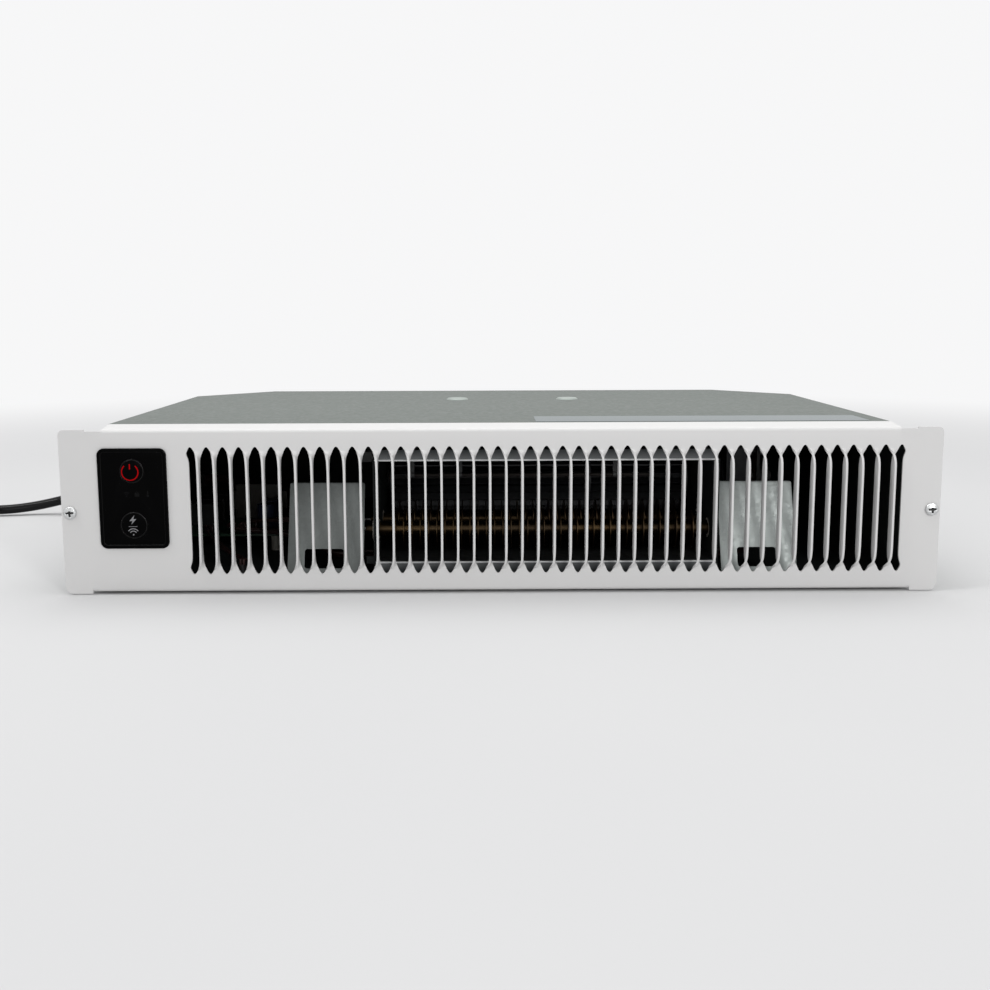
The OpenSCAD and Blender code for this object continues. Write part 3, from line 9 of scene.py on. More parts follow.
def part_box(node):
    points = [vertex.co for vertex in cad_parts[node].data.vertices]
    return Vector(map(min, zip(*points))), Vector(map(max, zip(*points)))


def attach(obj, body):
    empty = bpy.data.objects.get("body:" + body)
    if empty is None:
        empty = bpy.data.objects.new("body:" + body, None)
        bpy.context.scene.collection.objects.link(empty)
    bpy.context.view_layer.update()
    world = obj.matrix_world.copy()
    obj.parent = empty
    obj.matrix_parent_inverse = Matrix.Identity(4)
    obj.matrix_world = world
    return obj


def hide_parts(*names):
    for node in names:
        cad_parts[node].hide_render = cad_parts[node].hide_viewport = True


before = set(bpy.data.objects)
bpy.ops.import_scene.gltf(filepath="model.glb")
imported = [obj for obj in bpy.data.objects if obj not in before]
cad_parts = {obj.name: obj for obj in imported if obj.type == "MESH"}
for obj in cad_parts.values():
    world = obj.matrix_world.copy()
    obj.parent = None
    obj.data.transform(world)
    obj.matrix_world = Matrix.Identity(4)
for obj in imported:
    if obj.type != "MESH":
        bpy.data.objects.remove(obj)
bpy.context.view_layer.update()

# Sizes and places are in millimetres: across, back from the grille's face and up from the floor
MM = 0.001
CASING_DEPTH = 320
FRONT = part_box("top_cover")[1].y - CASING_DEPTH * MM
TO_ROW = Matrix.Translation((0, FRONT, 0)) @ Matrix.Scale(MM, 4)


def row_point(x, y, z):
    return TO_ROW @ Vector((x, y, z))


def rotated(degrees, axis):
    return Matrix.Rotation(radians(degrees), 4, axis)


def add_object(name, data):
    made = bpy.data.objects.new(name, data)
    bpy.context.collection.objects.link(made)
    return made


def mesh_from(name, made):
    """The mesh of a bmesh, which is freed."""
    mesh = bpy.data.meshes.new(name)
    made.to_mesh(mesh)
    made.free()
    return mesh


# Camera

CAMERA_PLACE = (-14.068, -635.029, 161.359)
PITCH_YAW_ROLL = (8.191, 0.329, -0.196)
LENS, SENSOR_WIDTH = 41.193, 36
LENS_SHIFT = (0.01169, -0.02271)


def add_camera():
    pitch, yaw, roll = (radians(a) for a in PITCH_YAW_ROLL)
    forward = Vector((sin(yaw) * cos(pitch), cos(yaw) * cos(pitch), -sin(pitch)))
    right = Vector((cos(yaw), -sin(yaw), 0))
    up = right.cross(forward)
    across = right * cos(roll) + up * sin(roll)
    above = up * cos(roll) - right * sin(roll)
    data = bpy.data.cameras.new("camera")
    camera = add_object("camera", data)
    data.sensor_width, data.lens = SENSOR_WIDTH, LENS
    data.shift_x, data.shift_y = LENS_SHIFT
    data.clip_start, data.clip_end = 0.01, 30
    turn = Matrix((across, above, -forward)).transposed().to_4x4()
    camera.matrix_world = Matrix.Translation(row_point(*CAMERA_PLACE)) @ turn
    bpy.context.scene.camera = camera


add_camera()
bpy.context.scene.view_settings.view_transform = "Standard"


# Nodes and the effects that several finishes share

def add_node(tree, kind, inputs=None, **settings):
    """A node with its settings; inputs, by name or number, are sockets to link or values to set."""
    node = tree.nodes.new("ShaderNode" + kind)
    for name, value in settings.items():
        setattr(node, name, value)
    for name, value in (inputs or {}).items():
        if isinstance(value, bpy.types.NodeSocket):
            tree.links.new(value, node.inputs[name])
        else:
            node.inputs[name].default_value = value
    return node


def sums(tree, how, *values):
    """The result of a Math node; the values are sockets or numbers."""
    return add_node(tree, "Math", dict(enumerate(values)), operation=how).outputs[0]


def swing(tree, value, share):
    """How far a value from 0 to 1 lies off its middle, times a share."""
    return sums(tree, "MULTIPLY", sums(tree, "SUBTRACT", value, 0.5), share)


def ramp(tree, value, start, end, kind="LINEAR"):
    """Runs from 0 to 1 while the value runs from start to end."""
    inputs = {"Value": value, "From Min": start, "From Max": end}
    return add_node(tree, "MapRange", inputs, interpolation_type=kind).outputs[0]


def noise(tree, place, scale, detail=3.0, roughness=0.55):
    inputs = {"Vector": place, "Scale": scale, "Detail": detail, "Roughness": roughness}
    return add_node(tree, "TexNoise", inputs).outputs["Fac"]


def add_group(name, inputs, outputs):
    """An empty node group, and the sockets inside it of its inputs (a place and floats) and outputs."""
    group = bpy.data.node_groups.new(name, "ShaderNodeTree")
    group.interface.new_socket("Place", in_out="INPUT", socket_type="NodeSocketVector")
    for label, value in inputs.items():
        socket = group.interface.new_socket(label, in_out="INPUT", socket_type="NodeSocketFloat")
        socket.default_value = value
    for label in outputs:
        group.interface.new_socket(label, in_out="OUTPUT", socket_type="NodeSocketFloat")
    return group, group.nodes.new("NodeGroupInput").outputs, group.nodes.new("NodeGroupOutput").inputs


def make_grain_group():
    """Fine grain of a coat or moulding, with slow cloudiness: a height and a shade around one."""
    values = {"Grain scale": 900, "Cloud scale": 9, "Cloud share": 0.04, "Grain share": 0.03}
    group, start, end = add_group("coat_grain", values, ("Height", "Shade"))
    grain = noise(group, start["Place"], start["Grain scale"], 2)
    cloud = noise(group, start["Place"], start["Cloud scale"], 4)
    soft = swing(group, cloud, start["Cloud share"])
    fine = swing(group, grain, start["Grain share"])
    group.links.new(grain, end["Height"])
    group.links.new(sums(group, "ADD", sums(group, "MULTIPLY_ADD", soft, 2, fine), 1), end["Shade"])
    return group


def make_spangle_group():
    """The crystal pattern of a zinc coat, with rolling lines: a height and a shade around one."""
    values = {"Cell scale": 110, "Cell share": 0.08, "Roll share": 0.05}
    group, start, end = add_group("zinc_spangle", values, ("Height", "Shade"))
    place = start["Place"]
    ripple = add_node(group, "TexNoise", {"Vector": place, "Scale": 60}).outputs["Color"]
    bend = add_node(group, "VectorMath", {0: ripple, 1: (0.01, 0.01, 0.01), 2: place},
        operation="MULTIPLY_ADD")
    cells = add_node(group, "TexVoronoi", {"Vector": bend.outputs[0], "Scale": start["Cell scale"]})
    grey = add_node(group, "RGBToBW", {0: cells.outputs["Color"]}).outputs[0]
    drawn_out = add_node(group, "Mapping", {"Vector": place, "Scale": (4, 260, 260)}).outputs[0]
    lines = noise(group, drawn_out, 1.0, 2)
    cell, line = swing(group, grey, start["Cell share"]), swing(group, lines, start["Roll share"])
    group.links.new(sums(group, "ADD", sums(group, "ADD", cell, line), 1), end["Shade"])
    group.links.new(sums(group, "ADD", sums(group, "MULTIPLY", lines, 0.4), grey), end["Height"])
    return group


def make_scuff_group():
    """Sparse rubbed marks and settled dust: a mask for marks and a mask for dust on faces that look up."""
    values = {"Mark scale": 35, "Mark share": 0.5, "Dust share": 0.5}
    group, start, end = add_group("scuffs_and_dust", values, ("Marks", "Dust"))
    place = start["Place"]
    stretch = add_node(group, "Mapping", {"Vector": place, "Scale": (1, 5, 1), "Rotation": (0.3, 0.2, 0.5)})
    raw = noise(group, stretch.outputs[0], start["Mark scale"], 5, 0.7)
    edge = sums(group, "MULTIPLY", sums(group, "SUBTRACT", raw, 0.62), 9)
    inside = sums(group, "MAXIMUM", sums(group, "MINIMUM", edge, 1), 0)
    group.links.new(sums(group, "MULTIPLY", inside, start["Mark share"]), end["Marks"])
    surface = add_node(group, "NewGeometry")
    split = add_node(group, "SeparateXYZ", {0: surface.outputs["Normal"]})
    specks = noise(group, place, 700, 2, 0.6)
    settled = sums(group, "MULTIPLY", sums(group, "MAXIMUM", split.outputs["Z"], 0), specks)
    group.links.new(sums(group, "MULTIPLY", settled, start["Dust share"]), end["Dust"])
    return group


GRAIN = make_grain_group()
SPANGLE = make_spangle_group()
SCUFFS = make_scuff_group()


# Finishes

class Finish:
    """A material whose shader is fed step by step; the shader itself stays in the material."""

    def __init__(self, name, metallic=0.0, specular=0.5):
        self.made = bpy.data.materials.new(name)
        self.made.use_nodes = True
        self.tree = self.made.node_tree
        self.shader = self.tree.nodes["Principled BSDF"]
        self.shader.inputs["Metallic"].default_value = metallic
        self.shader.inputs["Specular IOR Level"].default_value = specular
        where = add_node(self.tree, "TexCoord")
        self.place = add_node(self.tree, "Mapping", {"Vector": where.outputs["Object"]}).outputs[0]

    def effect(self, group, **values):
        """A shared effect at this finish's place; an underscore stands for a blank in an input's name."""
        inputs = {label.replace("_", " "): value for label, value in values.items()}
        return add_node(self.tree, "Group", {"Place": self.place, **inputs}, node_tree=group).outputs

    def blend(self, share, low, high):
        """Two colours, or sockets of colours, mixed by a socket that runs from 0 to 1."""
        low, high = ((*c, 1) if isinstance(c, tuple) else c for c in (low, high))
        return add_node(self.tree, "Mix", {0: share, 6: low, 7: high}, data_type="RGBA").outputs[2]

    def shaded(self, colour, shade):
        """A colour, or a socket of one, times a shade around one."""
        return add_node(self.tree, "VectorMath", {0: colour, "Scale": shade}, operation="SCALE").outputs[0]

    def feed(self, label, socket):
        self.tree.links.new(socket, self.shader.inputs[label])

    def complete(self, paint, rough, bump, height, uneven=None):
        """The material, once its shader has a colour, a roughness between two values and a bump."""
        spread = {"Value": uneven or height, "To Min": rough[0], "To Max": rough[1]}
        relief = {"Strength": bump, "Distance": 0.1 * MM, "Height": height}
        self.feed("Base Color", paint)
        self.feed("Roughness", add_node(self.tree, "MapRange", spread).outputs[0])
        self.feed("Normal", add_node(self.tree, "Bump", relief).outputs[0])
        return self.made


def coated(name, colour, rough=(0.4, 0.55), grain=(900, 0.03), cloud=(9, 0.04), bump=0.12, dust=0.0,
        specular=0.5, metallic=0.0):
    """A painted, moulded or plain surface with its own grain, cloudiness and dust."""
    finish = Finish(name, metallic, specular)
    skin = finish.effect(GRAIN, Grain_scale=grain[0], Grain_share=grain[1], Cloud_scale=cloud[0],
        Cloud_share=cloud[1])
    paint = finish.shaded(colour, skin["Shade"])
    if dust:
        wear = finish.effect(SCUFFS, Dust_share=dust)
        paint = finish.blend(wear["Dust"], paint, (0.55, 0.53, 0.5))
    return finish.complete(paint, rough, bump, skin["Height"])


def zinc(name, colour, rough=(0.4, 0.6), metallic=0.3, cells=(110, 0.08), roll=0.05, marks=0.15, dust=0.15):
    """Galvanised sheet: faint crystals, rolling lines, rubbed marks and a little dust."""
    finish = Finish(name, metallic)
    skin = finish.effect(SPANGLE, Cell_scale=cells[0], Cell_share=cells[1], Roll_share=roll)
    wear = finish.effect(SCUFFS, Mark_share=marks, Dust_share=dust)
    paint = finish.shaded(colour, skin["Shade"])
    paint = finish.blend(wear["Marks"], paint, tuple(min(1, 1.35 * c) for c in colour))
    paint = finish.blend(wear["Dust"], paint, (0.42, 0.42, 0.4))
    return finish.complete(paint, rough, 0.05, skin["Height"])


# The fan's mouth: its middle and half its height, how far up and down the painted light near its lips
# reaches, and where going back the painted shade begins and is full
MOUTH_MIDDLE, MOUTH_HALF, PAINTED_LIGHT_HALF = 44, 30, 35.5
PAINTED_SHADE_START, PAINTED_SHADE_END = 20.85, 23.15


def duct_painted_light_and_shade():
    """Dark sheet with painted light and shade: paler near the mouth's lips, where light still reaches, than
    further up, down and back.
    """
    finish = Finish("duct_painted_light_and_shade", metallic=0.35)
    tree = finish.tree
    skin = finish.effect(SPANGLE, Cell_scale=150, Cell_share=0.2, Roll_share=0.2)
    split = add_node(tree, "SeparateXYZ", {0: finish.place}).outputs
    # Paler near the lips than further up and down: painted light, where light still falls in through the
    # grille
    height = sums(tree, "ABSOLUTE", sums(tree, "SUBTRACT", split["Z"], MOUTH_MIDDLE * MM))
    edge = finish.blend(ramp(tree, height, MOUTH_HALF * MM, PAINTED_LIGHT_HALF * MM), (0.2, 0.21, 0.215),
        (0.055, 0.06, 0.062))
    # Darker further back from the front edge: painted shade
    back = ramp(tree, split["Y"], row_point(0, PAINTED_SHADE_START, 0).y, row_point(0, PAINTED_SHADE_END, 0).y)
    tint = finish.blend(back, edge, (0.014, 0.015, 0.015))
    return finish.complete(finish.shaded(tint, skin["Shade"]), (0.4, 0.6), 0.05, skin["Height"])


POWDER_COAT = coated("white_powder_coat", (0.645, 0.64, 0.635), (0.42, 0.6), grain=(1300, 0.02),
    cloud=(5, 0.02), bump=0.1, dust=0.06)
COVER_ZINC = zinc("cover_sheet", (0.095, 0.111, 0.1), (0.5, 0.68), metallic=0.15, cells=(420, 0.06),
    roll=0.03, marks=0.02, dust=0.1)
# The pads are pressed from the lid's sheet, yet coloured about three times paler than it: a painted
# highlight on their raised tops
PAD_PAINTED_HIGHLIGHT = zinc("pad_sheet_painted_highlight", (0.32, 0.36, 0.335), (0.35, 0.5), metallic=0.2, cells=(420, 0.06),
    marks=0.02, dust=0.05)
TRAY_ZINC = zinc("galvanised_sheet", (0.3, 0.32, 0.3), (0.36, 0.6), metallic=0.45, cells=(120, 0.2),
    roll=0.08)
# Near black for the inner faces of the lid and the tray and for the fan's side plates: painted shade, where
# little light reaches inside the casing
INNER_PAINTED_SHADE = coated("inner_painted_shade_sheet", (0.012, 0.014, 0.014), (0.6, 0.8), grain=(500, 0.2),
    cloud=(12, 0.2), specular=0.2)
# The left baffle is a darker copy of the right one's zinc: painted shade, as the light falls from the right
BAFFLE_COLOURS_LEFT_PAINTED_SHADE = {"left": (0.16, 0.173, 0.168), "right": (0.27, 0.292, 0.284)}
BAFFLE_ZINC_LEFT_PAINTED_SHADE = {side: zinc(side + "_baffle_sheet", colour, (0.34, 0.5), metallic=0.55, cells=(420, 0.2),
    roll=0.12, marks=0.06, dust=0.1) for side, colour in BAFFLE_COLOURS_LEFT_PAINTED_SHADE.items()}
DUCT_PAINTED_LIGHT_AND_SHADE = duct_painted_light_and_shade()
# Near white strips at the fan's mouth: a painted highlight along the bends of the duct's sheet
LIP_PAINTED_HIGHLIGHT = zinc("lip_painted_highlight", (0.85, 0.86, 0.86), (0.3, 0.45), metallic=0.1, cells=(400, 0.2), roll=0.2)
SCREW_ZINC = zinc("zinc_plated_steel", (0.62, 0.63, 0.63), (0.22, 0.38), metallic=0.85,
    cells=(700, 0.1), roll=0.1)
RECESS_DARK = coated("recess_shadow", (0.012, 0.012, 0.012), (0.5, 0.6))
PANEL_BLACK = coated("panel_black", (0.0012, 0.0012, 0.0013), (0.26, 0.4), grain=(1600, 0.25),
    cloud=(20, 0.1), bump=0.08, specular=0.02)
BUTTON_GLOSS = coated("button_gloss", (0.001, 0.001, 0.0011), (0.12, 0.2), grain=(1600, 0.1),
    bump=0.02, specular=0.025)
CHAMFER_GLOSS = coated("chamfer_gloss", (0.0012, 0.0012, 0.0013), (0.2, 0.28), grain=(1600, 0.1),
    bump=0.02, specular=0.22)
SYMBOL_RED = coated("symbol_red", (0.36, 0.001, 0.002), (0.35, 0.45), grain=(1800, 0.05), specular=0.03)
SYMBOL_GREY = coated("symbol_grey", (0.2, 0.2, 0.21), (0.4, 0.5), grain=(1800, 0.06))
SYMBOL_DIM = coated("symbol_dim", (0.0042, 0.0042, 0.0045), (0.4, 0.5), grain=(1800, 0.06),
    specular=0.05)
RUBBER = coated("black_rubber", (0.016, 0.016, 0.016), (0.6, 0.8), grain=(900, 0.25), bump=0.25,
    dust=0.05)
CORD_RUBBER = coated("cord_rubber", (0.0022, 0.0022, 0.0025), (0.12, 0.2), grain=(1200, 0.15),
    bump=0.03, specular=0.2)
LABEL_FILM = coated("label_film", (0.126, 0.151, 0.157), (0.3, 0.42), grain=(700, 0.02),
    cloud=(14, 0.04), bump=0.03)
TIE_NYLON = coated("tie_nylon", (0.02, 0.02, 0.022), (0.3, 0.45), grain=(1500, 0.1))
PLUG_MOULDING = coated("plug_moulding", (0.013, 0.013, 0.014), (0.35, 0.5), grain=(1500, 0.2), bump=0.2)
PIN_BRASS = zinc("pin_brass", (0.62, 0.47, 0.2), (0.2, 0.34), metallic=0.95, cells=(600, 0.08),
    roll=0.1)


# Building blocks

def add_piece(name, made, finishes, replaces=None, body="casing", smooth=38, thickness=0.0,
        offset=-1.0, edge=0.0, inner=0, even=False):
    """Puts a bmesh, built in millimetres, into the scene as one piece with its finishes and modifiers."""
    made.transform(TO_ROW)
    mesh = mesh_from(name, made)
    piece = add_object(name, mesh)
    for finish in finishes:
        mesh.materials.append(finish)
    mesh.shade_smooth()
    mesh.set_sharp_from_angle(angle=radians(smooth))
    if thickness:
        wall = piece.modifiers.new("wall", "SOLIDIFY")
        wall.thickness = thickness * MM
        wall.offset = offset
        wall.use_even_offset = even
        wall.material_offset = inner
    if edge:
        rim = piece.modifiers.new("rim", "BEVEL")
        rim.width = edge * MM
        rim.segments = 2
        rim.limit_method = "ANGLE"
        rim.angle_limit = radians(50)
        rim.harden_normals = True
    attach(piece, body)
    if replaces:
        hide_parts(replaces)
    return piece


WELD, FINE_WELD = 0.002, 0.0005


def close_up(made, distance=WELD):
    bmesh.ops.remove_doubles(made, verts=made.verts, dist=distance)
    bmesh.ops.recalc_face_normals(made, faces=made.faces)


def round_edges(made, edges, width, segments):
    bmesh.ops.bevel(made, geom=edges, offset=width, segments=segments, profile=0.5, affect="EDGES",
        material=-1)


def turned(made, profile, centre, axis, steps=40):
    """Turns a profile of (distance from the axis, distance along it) once round the axis at centre."""
    axis = Vector(axis).normalized()
    side = axis.orthogonal().normalized()
    centre = Vector(centre)
    points = [made.verts.new(centre + side * r + axis * h) for r, h in profile]
    edges = [made.edges.new(pair) for pair in zip(points, points[1:])]
    bmesh.ops.spin(made, geom=points + edges, cent=centre, axis=axis, dvec=(0, 0, 0), angle=2 * pi,
        steps=steps, use_merge=True)


def arc_profile(middle, radius, start, end, steps=5):
    """Points of an arc in a profile's own plane, in degrees."""
    angles = [radians(start + (end - start) * k / steps) for k in range(steps + 1)]
    return [(middle[0] + radius * cos(a), middle[1] + radius * sin(a)) for a in angles]


def flat_outline(x0, x1, z0, z1, r, steps=6):
    """A rounded rectangle as a list of points."""
    left, right, low, high = x0 + r, x1 - r, z0 + r, z1 - r
    corners = ((right, high), 0), ((left, high), 90), ((left, low), 180), ((right, low), 270)
    return [p for middle, start in corners for p in arc_profile(middle, r, start, start + 90, steps)]


def circle_outline(x, z, r, steps=40):
    return arc_profile((x, z), r, 0, 360, steps)[:-1]


def plate_from(outlines, thickness, rounding=0.0, segments=2):
    """A flat plate with holes from closed outlines, its edges rounded; it lies in X and Y, centred on Z."""
    curve = bpy.data.curves.new("outline", "CURVE")
    curve.dimensions = "2D"
    curve.fill_mode = "BOTH"
    curve.extrude = max(thickness / 2 - rounding, 0)
    curve.bevel_depth = rounding
    curve.offset = -rounding
    curve.bevel_resolution = segments
    for outline in outlines:
        spline = curve.splines.new("POLY")
        spline.points.add(len(outline) - 1)
        for point, (x, y) in zip(spline.points, outline):
            point.co = (x, y, 0, 1)
        spline.use_cyclic_u = True
    holder = add_object("outline", curve)
    mesh = bpy.data.meshes.new_from_object(holder.evaluated_get(bpy.context.evaluated_depsgraph_get()))
    made = bmesh.new()
    made.from_mesh(mesh)
    bpy.data.objects.remove(holder)
    bpy.data.curves.remove(curve)
    bpy.data.meshes.remove(mesh)
    close_up(made, FINE_WELD)
    return made


def join(made, other, matrix=None, finish=0):
    """Adds another bmesh, moved by a matrix; its faces keep their own finish unless one is given."""
    if matrix is not None:
        other.transform(matrix)
    if finish:
        for face in other.faces:
            face.material_index = finish
    mesh = mesh_from("part", other)
    made.from_mesh(mesh)
    bpy.data.meshes.remove(mesh)


def upright(front, thickness):
    """Stands a plate up to face the front, with its front face that far back."""
    return Matrix.Translation((0, front + thickness / 2, 0)) @ rotated(90, "X")


def add_cube(made, low, high):
    bmesh.ops.create_cube(made, size=1)
    low, high = Vector(low), Vector(high)
    bmesh.ops.scale(made, vec=high - low, verts=made.verts)
    bmesh.ops.translate(made, vec=(low + high) / 2, verts=made.verts)


def block(made, low, high, rounding, finish=0):
    """Adds a box with rounded edges between two corners."""
    other = bmesh.new()
    add_cube(other, low, high)
    round_edges(other, other.edges[:], rounding, 2)
    join(made, other, finish=finish)


# Mains lead

CORD_DIAMETER = 7.3
ROUTE = [(-276.8, 250, 30), (-287.1, 250, 30), (-297.2, 251.1, 27.9), (-306.9, 252.7, 24.6),
    (-316.3, 254.8, 21), (-325.8, 257.1, 17.6), (-335.4, 259.2, 14.5), (-345.3, 260.6, 11.8),
    (-355.3, 261.1, 9.4), (-365.4, 260.4, 7.4), (-375.5, 258.6, 6), (-385.6, 256.5, 5.2),
    (-395.8, 254.8, 4.9), (-406, 253.6, 4.7), (-416.4, 253.1, 4.6), (-426.7, 253, 4.6), (-437, 253, 4.6)]
COIL_MIDDLE, COIL_LOW = (-445, 199), 4.6
COIL_RADIUS, COIL_PITCH, COIL_TURNS, COIL_STEPS = 54, 7.8, 6.25, 24
CLIMB_TURNS = 0.5
STRAP_ANGLE, STRAP_WIDTH, STRAP_WALL = -40, 6, 0.8
PLUG_END = (-499, 153, 12.4)
PLUG_WIDE, PLUG_LONG, PLUG_HIGH = 50, 48, 23
BOOT_FLANGE, BOOT_LENGTH, BOOT_RIBS = 3, 38, 7


def coil_radius(turn):
    return COIL_RADIUS - COIL_PITCH * min(turn, COIL_TURNS - turn)


def coil_point(step):
    turn = step / COIL_STEPS
    angle = radians(90 + 360 * turn)
    radius = coil_radius(turn)
    climb = min(max((turn - COIL_TURNS / 2) / CLIMB_TURNS + 0.5, 0), 1)
    return (COIL_MIDDLE[0] + radius * cos(angle), COIL_MIDDLE[1] + radius * sin(angle),
        COIL_LOW + COIL_PITCH * climb)


def make_lead():
    """One smooth curve from the strain relief to the plug."""
    points = ROUTE + [coil_point(k) for k in range(round(COIL_TURNS * COIL_STEPS) + 1)] + [PLUG_END]
    curve = bpy.data.curves.new("mains_lead", "CURVE")
    curve.dimensions = "3D"
    curve.bevel_depth = CORD_DIAMETER / 2 * MM
    curve.bevel_resolution = 6
    curve.resolution_u = 4
    curve.use_fill_caps = True
    spline = curve.splines.new("BEZIER")
    spline.bezier_points.add(len(points) - 1)
    for knot, point in zip(spline.bezier_points, points):
        knot.co = row_point(*point)
        knot.handle_left_type = knot.handle_right_type = "AUTO"
    lead = add_object("mains_lead", curve)
    curve.materials.append(CORD_RUBBER)
    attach(lead, "casing")
    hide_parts("mains_cord", "cord_coil")
    return lead


def make_strain_relief():
    """A boot whose ribs get narrower towards its end, behind a flange with a rounded rim."""
    end = -BOOT_FLANGE - BOOT_LENGTH
    profile = [(0, 8), (5.9, 8), (5.9, 0), (8.6, 0)] + arc_profile((8.2, -2.2), 0.8, 0, -90, 4)
    profile.append((7.2, -BOOT_FLANGE))
    for k in range(BOOT_RIBS):
        start = (k + 0.35) / BOOT_RIBS
        for rise, later in ((-0.55, 0), (-0.55, 0.2), (0.25, 0.32), (0.2, 0.85)):
            along_boot = BOOT_LENGTH * (start + later / BOOT_RIBS)
            if along_boot < BOOT_LENGTH - 0.8:
                profile.append((7 - 2.65 * start + rise, -BOOT_FLANGE - along_boot))
    profile += [(4.35, end + 0.4), (4.1, end), (0, end)]
    made = bmesh.new()
    turned(made, profile, (-235.8, 250, 30), (1, 0, 0))
    close_up(made)
    return add_piece("strain_relief_boot", made, [RUBBER], "strain_relief", smooth=30)


def make_tie():
    """A nylon strap close round all the turns that pass its place, with its lock on top."""
    radii = [coil_radius((STRAP_ANGLE - 90) / 360 % 1 + k) for k in range(int(COIL_TURNS))]
    cord = CORD_DIAMETER / 2
    inner, outer = min(radii) - cord - 0.3, max(radii) + cord + 0.3
    low, high = COIL_LOW - cord - 0.1, COIL_LOW + COIL_PITCH + cord + 0.1
    wall = STRAP_WALL
    band = plate_from([flat_outline(inner - wall, outer + wall, low - wall, high + wall, 2 * wall),
        flat_outline(inner, outer, low, high, wall)], STRAP_WIDTH, 0.15)
    made = bmesh.new()
    join(made, band, upright(-STRAP_WIDTH / 2, STRAP_WIDTH))
    lock_x = (inner + outer) / 2
    block(made, (lock_x - 4, -4, high + 0.6), (lock_x + 4, 4, high + 4.4), 0.7)
    block(made, (lock_x - 16, -2.4, high + 1.6), (lock_x - 3.5, 2.4, high + 2.6), 0.3)
    made.transform(Matrix.Translation((*COIL_MIDDLE, 0)) @ rotated(STRAP_ANGLE, "Z"))
    return add_piece("cord_strap", made, [TIE_NYLON], "cord_tie", smooth=30)


def make_plug():
    """A moulded plug lying on its back: rounded body, gripping ridges and a ribbed boot."""
    x, y, cord_z = PLUG_END
    back = y - 14
    made = bmesh.new()
    add_cube(made, (x - PLUG_WIDE / 2, back - PLUG_LONG, 0), (x + PLUG_WIDE / 2, back, PLUG_HIGH))

    def rise(edge):
        return abs(edge.verts[0].co.z - edge.verts[1].co.z)

    round_edges(made, [e for e in made.edges if rise(e) > 1], 7, 6)
    level = [e for e in made.edges if rise(e) < 0.1]
    top = [e for e in level if e.verts[0].co.z > PLUG_HIGH / 2]
    bottom = [e for e in level if e.verts[0].co.z < PLUG_HIGH / 2]
    round_edges(made, top, 2.2, 3)
    round_edges(made, [e for e in bottom if e.is_valid], 3.5, 4)
    for middle in (x - 23.6, x + 23.6):
        for k in range(5):
            ridge = back - 12 - 5 * k
            block(made, (middle - 1, ridge - 1.1, 4.5), (middle + 1, ridge + 1.1, 18), 0.5)
    profile = [(0, 1.5), (6.5, 1.5), (6.5, 0)]
    for k in range(4):
        start, wide = -1 - 3.1 * k, 6.4 - 0.75 * k
        profile += [(wide - 0.9, start), (wide - 0.9, start - 0.9)]
        profile += [(wide, start - 1.4), (wide - 0.1, start - 2.6)]
    profile += [(3.7, -13.8), (3.6, -14), (0, -14)]
    turned(made, profile, (x, back, cord_z), (0, -1, 0), 32)
    close_up(made, FINE_WELD)
    return add_piece("plug_moulding", made, [PLUG_MOULDING], "plug_body", smooth=32)


def make_pins():
    """Three flat pins that stand up from the plug, two of them sleeved at the foot."""
    x, y, base = PLUG_END[0], PLUG_END[1] - 14 - PLUG_LONG, PLUG_HIGH
    made = bmesh.new()
    block(made, (x - 2, y + 5, base - 1), (x + 2, y + 13, base + 22.7), 0.7)
    for middle in (x - 11.1, x + 11.1):
        for low, high, rounding, finish in ((9.5, 17.7, 0.7, 0), (-1, 9.8, 0.2, 1)):
            corners = (middle - 3.2, y + 29.2, base + low), (middle + 3.2, y + 33.2, base + high)
            block(made, *corners, rounding, finish)
    return add_piece("plug_blades", made, [PIN_BRASS, PLUG_MOULDING], "plug_pins", smooth=30)


lead = make_lead()
lead_pieces = [make_strain_relief(), make_tie(), make_plug(), make_pins()]


# Front grille: one sheet, punched, its bars twisted edge-on, the top and bottom folded back

PLATE_HALF, PLATE_LOW, PLATE_HIGH, SHEET = 250, 0.6, 95.0, 1.2
PITCH, FIRST_SLOT, SLOTS = 9.15, -176, 45
TIP_LOW, TIP_HIGH = 11.8, 85.0
FOLD_LOW, FOLD_HIGH, FOLD_RADIUS = 3.6, 93.0, 2
TOP_HALF, BOTTOM_HALF, EAR, EAR_STEP = 225.9, 234.6, 235.4, 0.85
BAR_FORWARD = 1.6
TOP_ROUND, BOTTOM_ROUND = 3, 4.5
PANEL_HOLE = (28, 83.2)
NEAR = 0.01
# Half the width of a slot at distances in from its tip, between bars and on the outer side of the end slots
SLOT_HALF = [(0, 0.3), (0.12, 0.5), (0.35, 0.8), (1, 1.3), (1.5, 1.58), (2, 1.85), (2.5, 2.1), (3, 2.32),
    (3.5, 2.54), (4, 2.71), (4.5, 2.79), (5, 2.77), (6, 2.67), (7, 2.46), (8, 2.24), (10, 1.97), (12, 1.89),
    (15, 1.87)]
END_HALF = [(0, 0.3), (0.12, 0.5), (0.35, 0.75), (1, 1.15), (2, 1.65), (3, 2.08), (3.5, 2.2), (4, 2.2),
    (5, 1.93), (6, 1.58), (7, 1.27), (9, 0.96), (12, 0.86)]
# How far a bar has turned at those distances, in degrees
BAR_TURN = [(2.4, 0), (3, 12), (3.5, 23), (4, 35), (4.5, 48), (5, 59), (5.5, 67), (6, 74), (7, 82), (8, 87),
    (10, 90.5), (12, 92), (15, 93)]
DEPTHS = [0, 0.12, 0.35, 1, 1.5, 2, 2.5, 3, 3.5, 4, 4.5, 5, 5.5, 6, 6.5, 7, 8, 9, 10, 12, 15]
CORNER_LINES = sorted({round(PLATE_HALF - r + r * sin(radians(a)), 2)
    for r in (TOP_ROUND, BOTTOM_ROUND) for a in (0, 22.5, 45, 67.5, 90)})
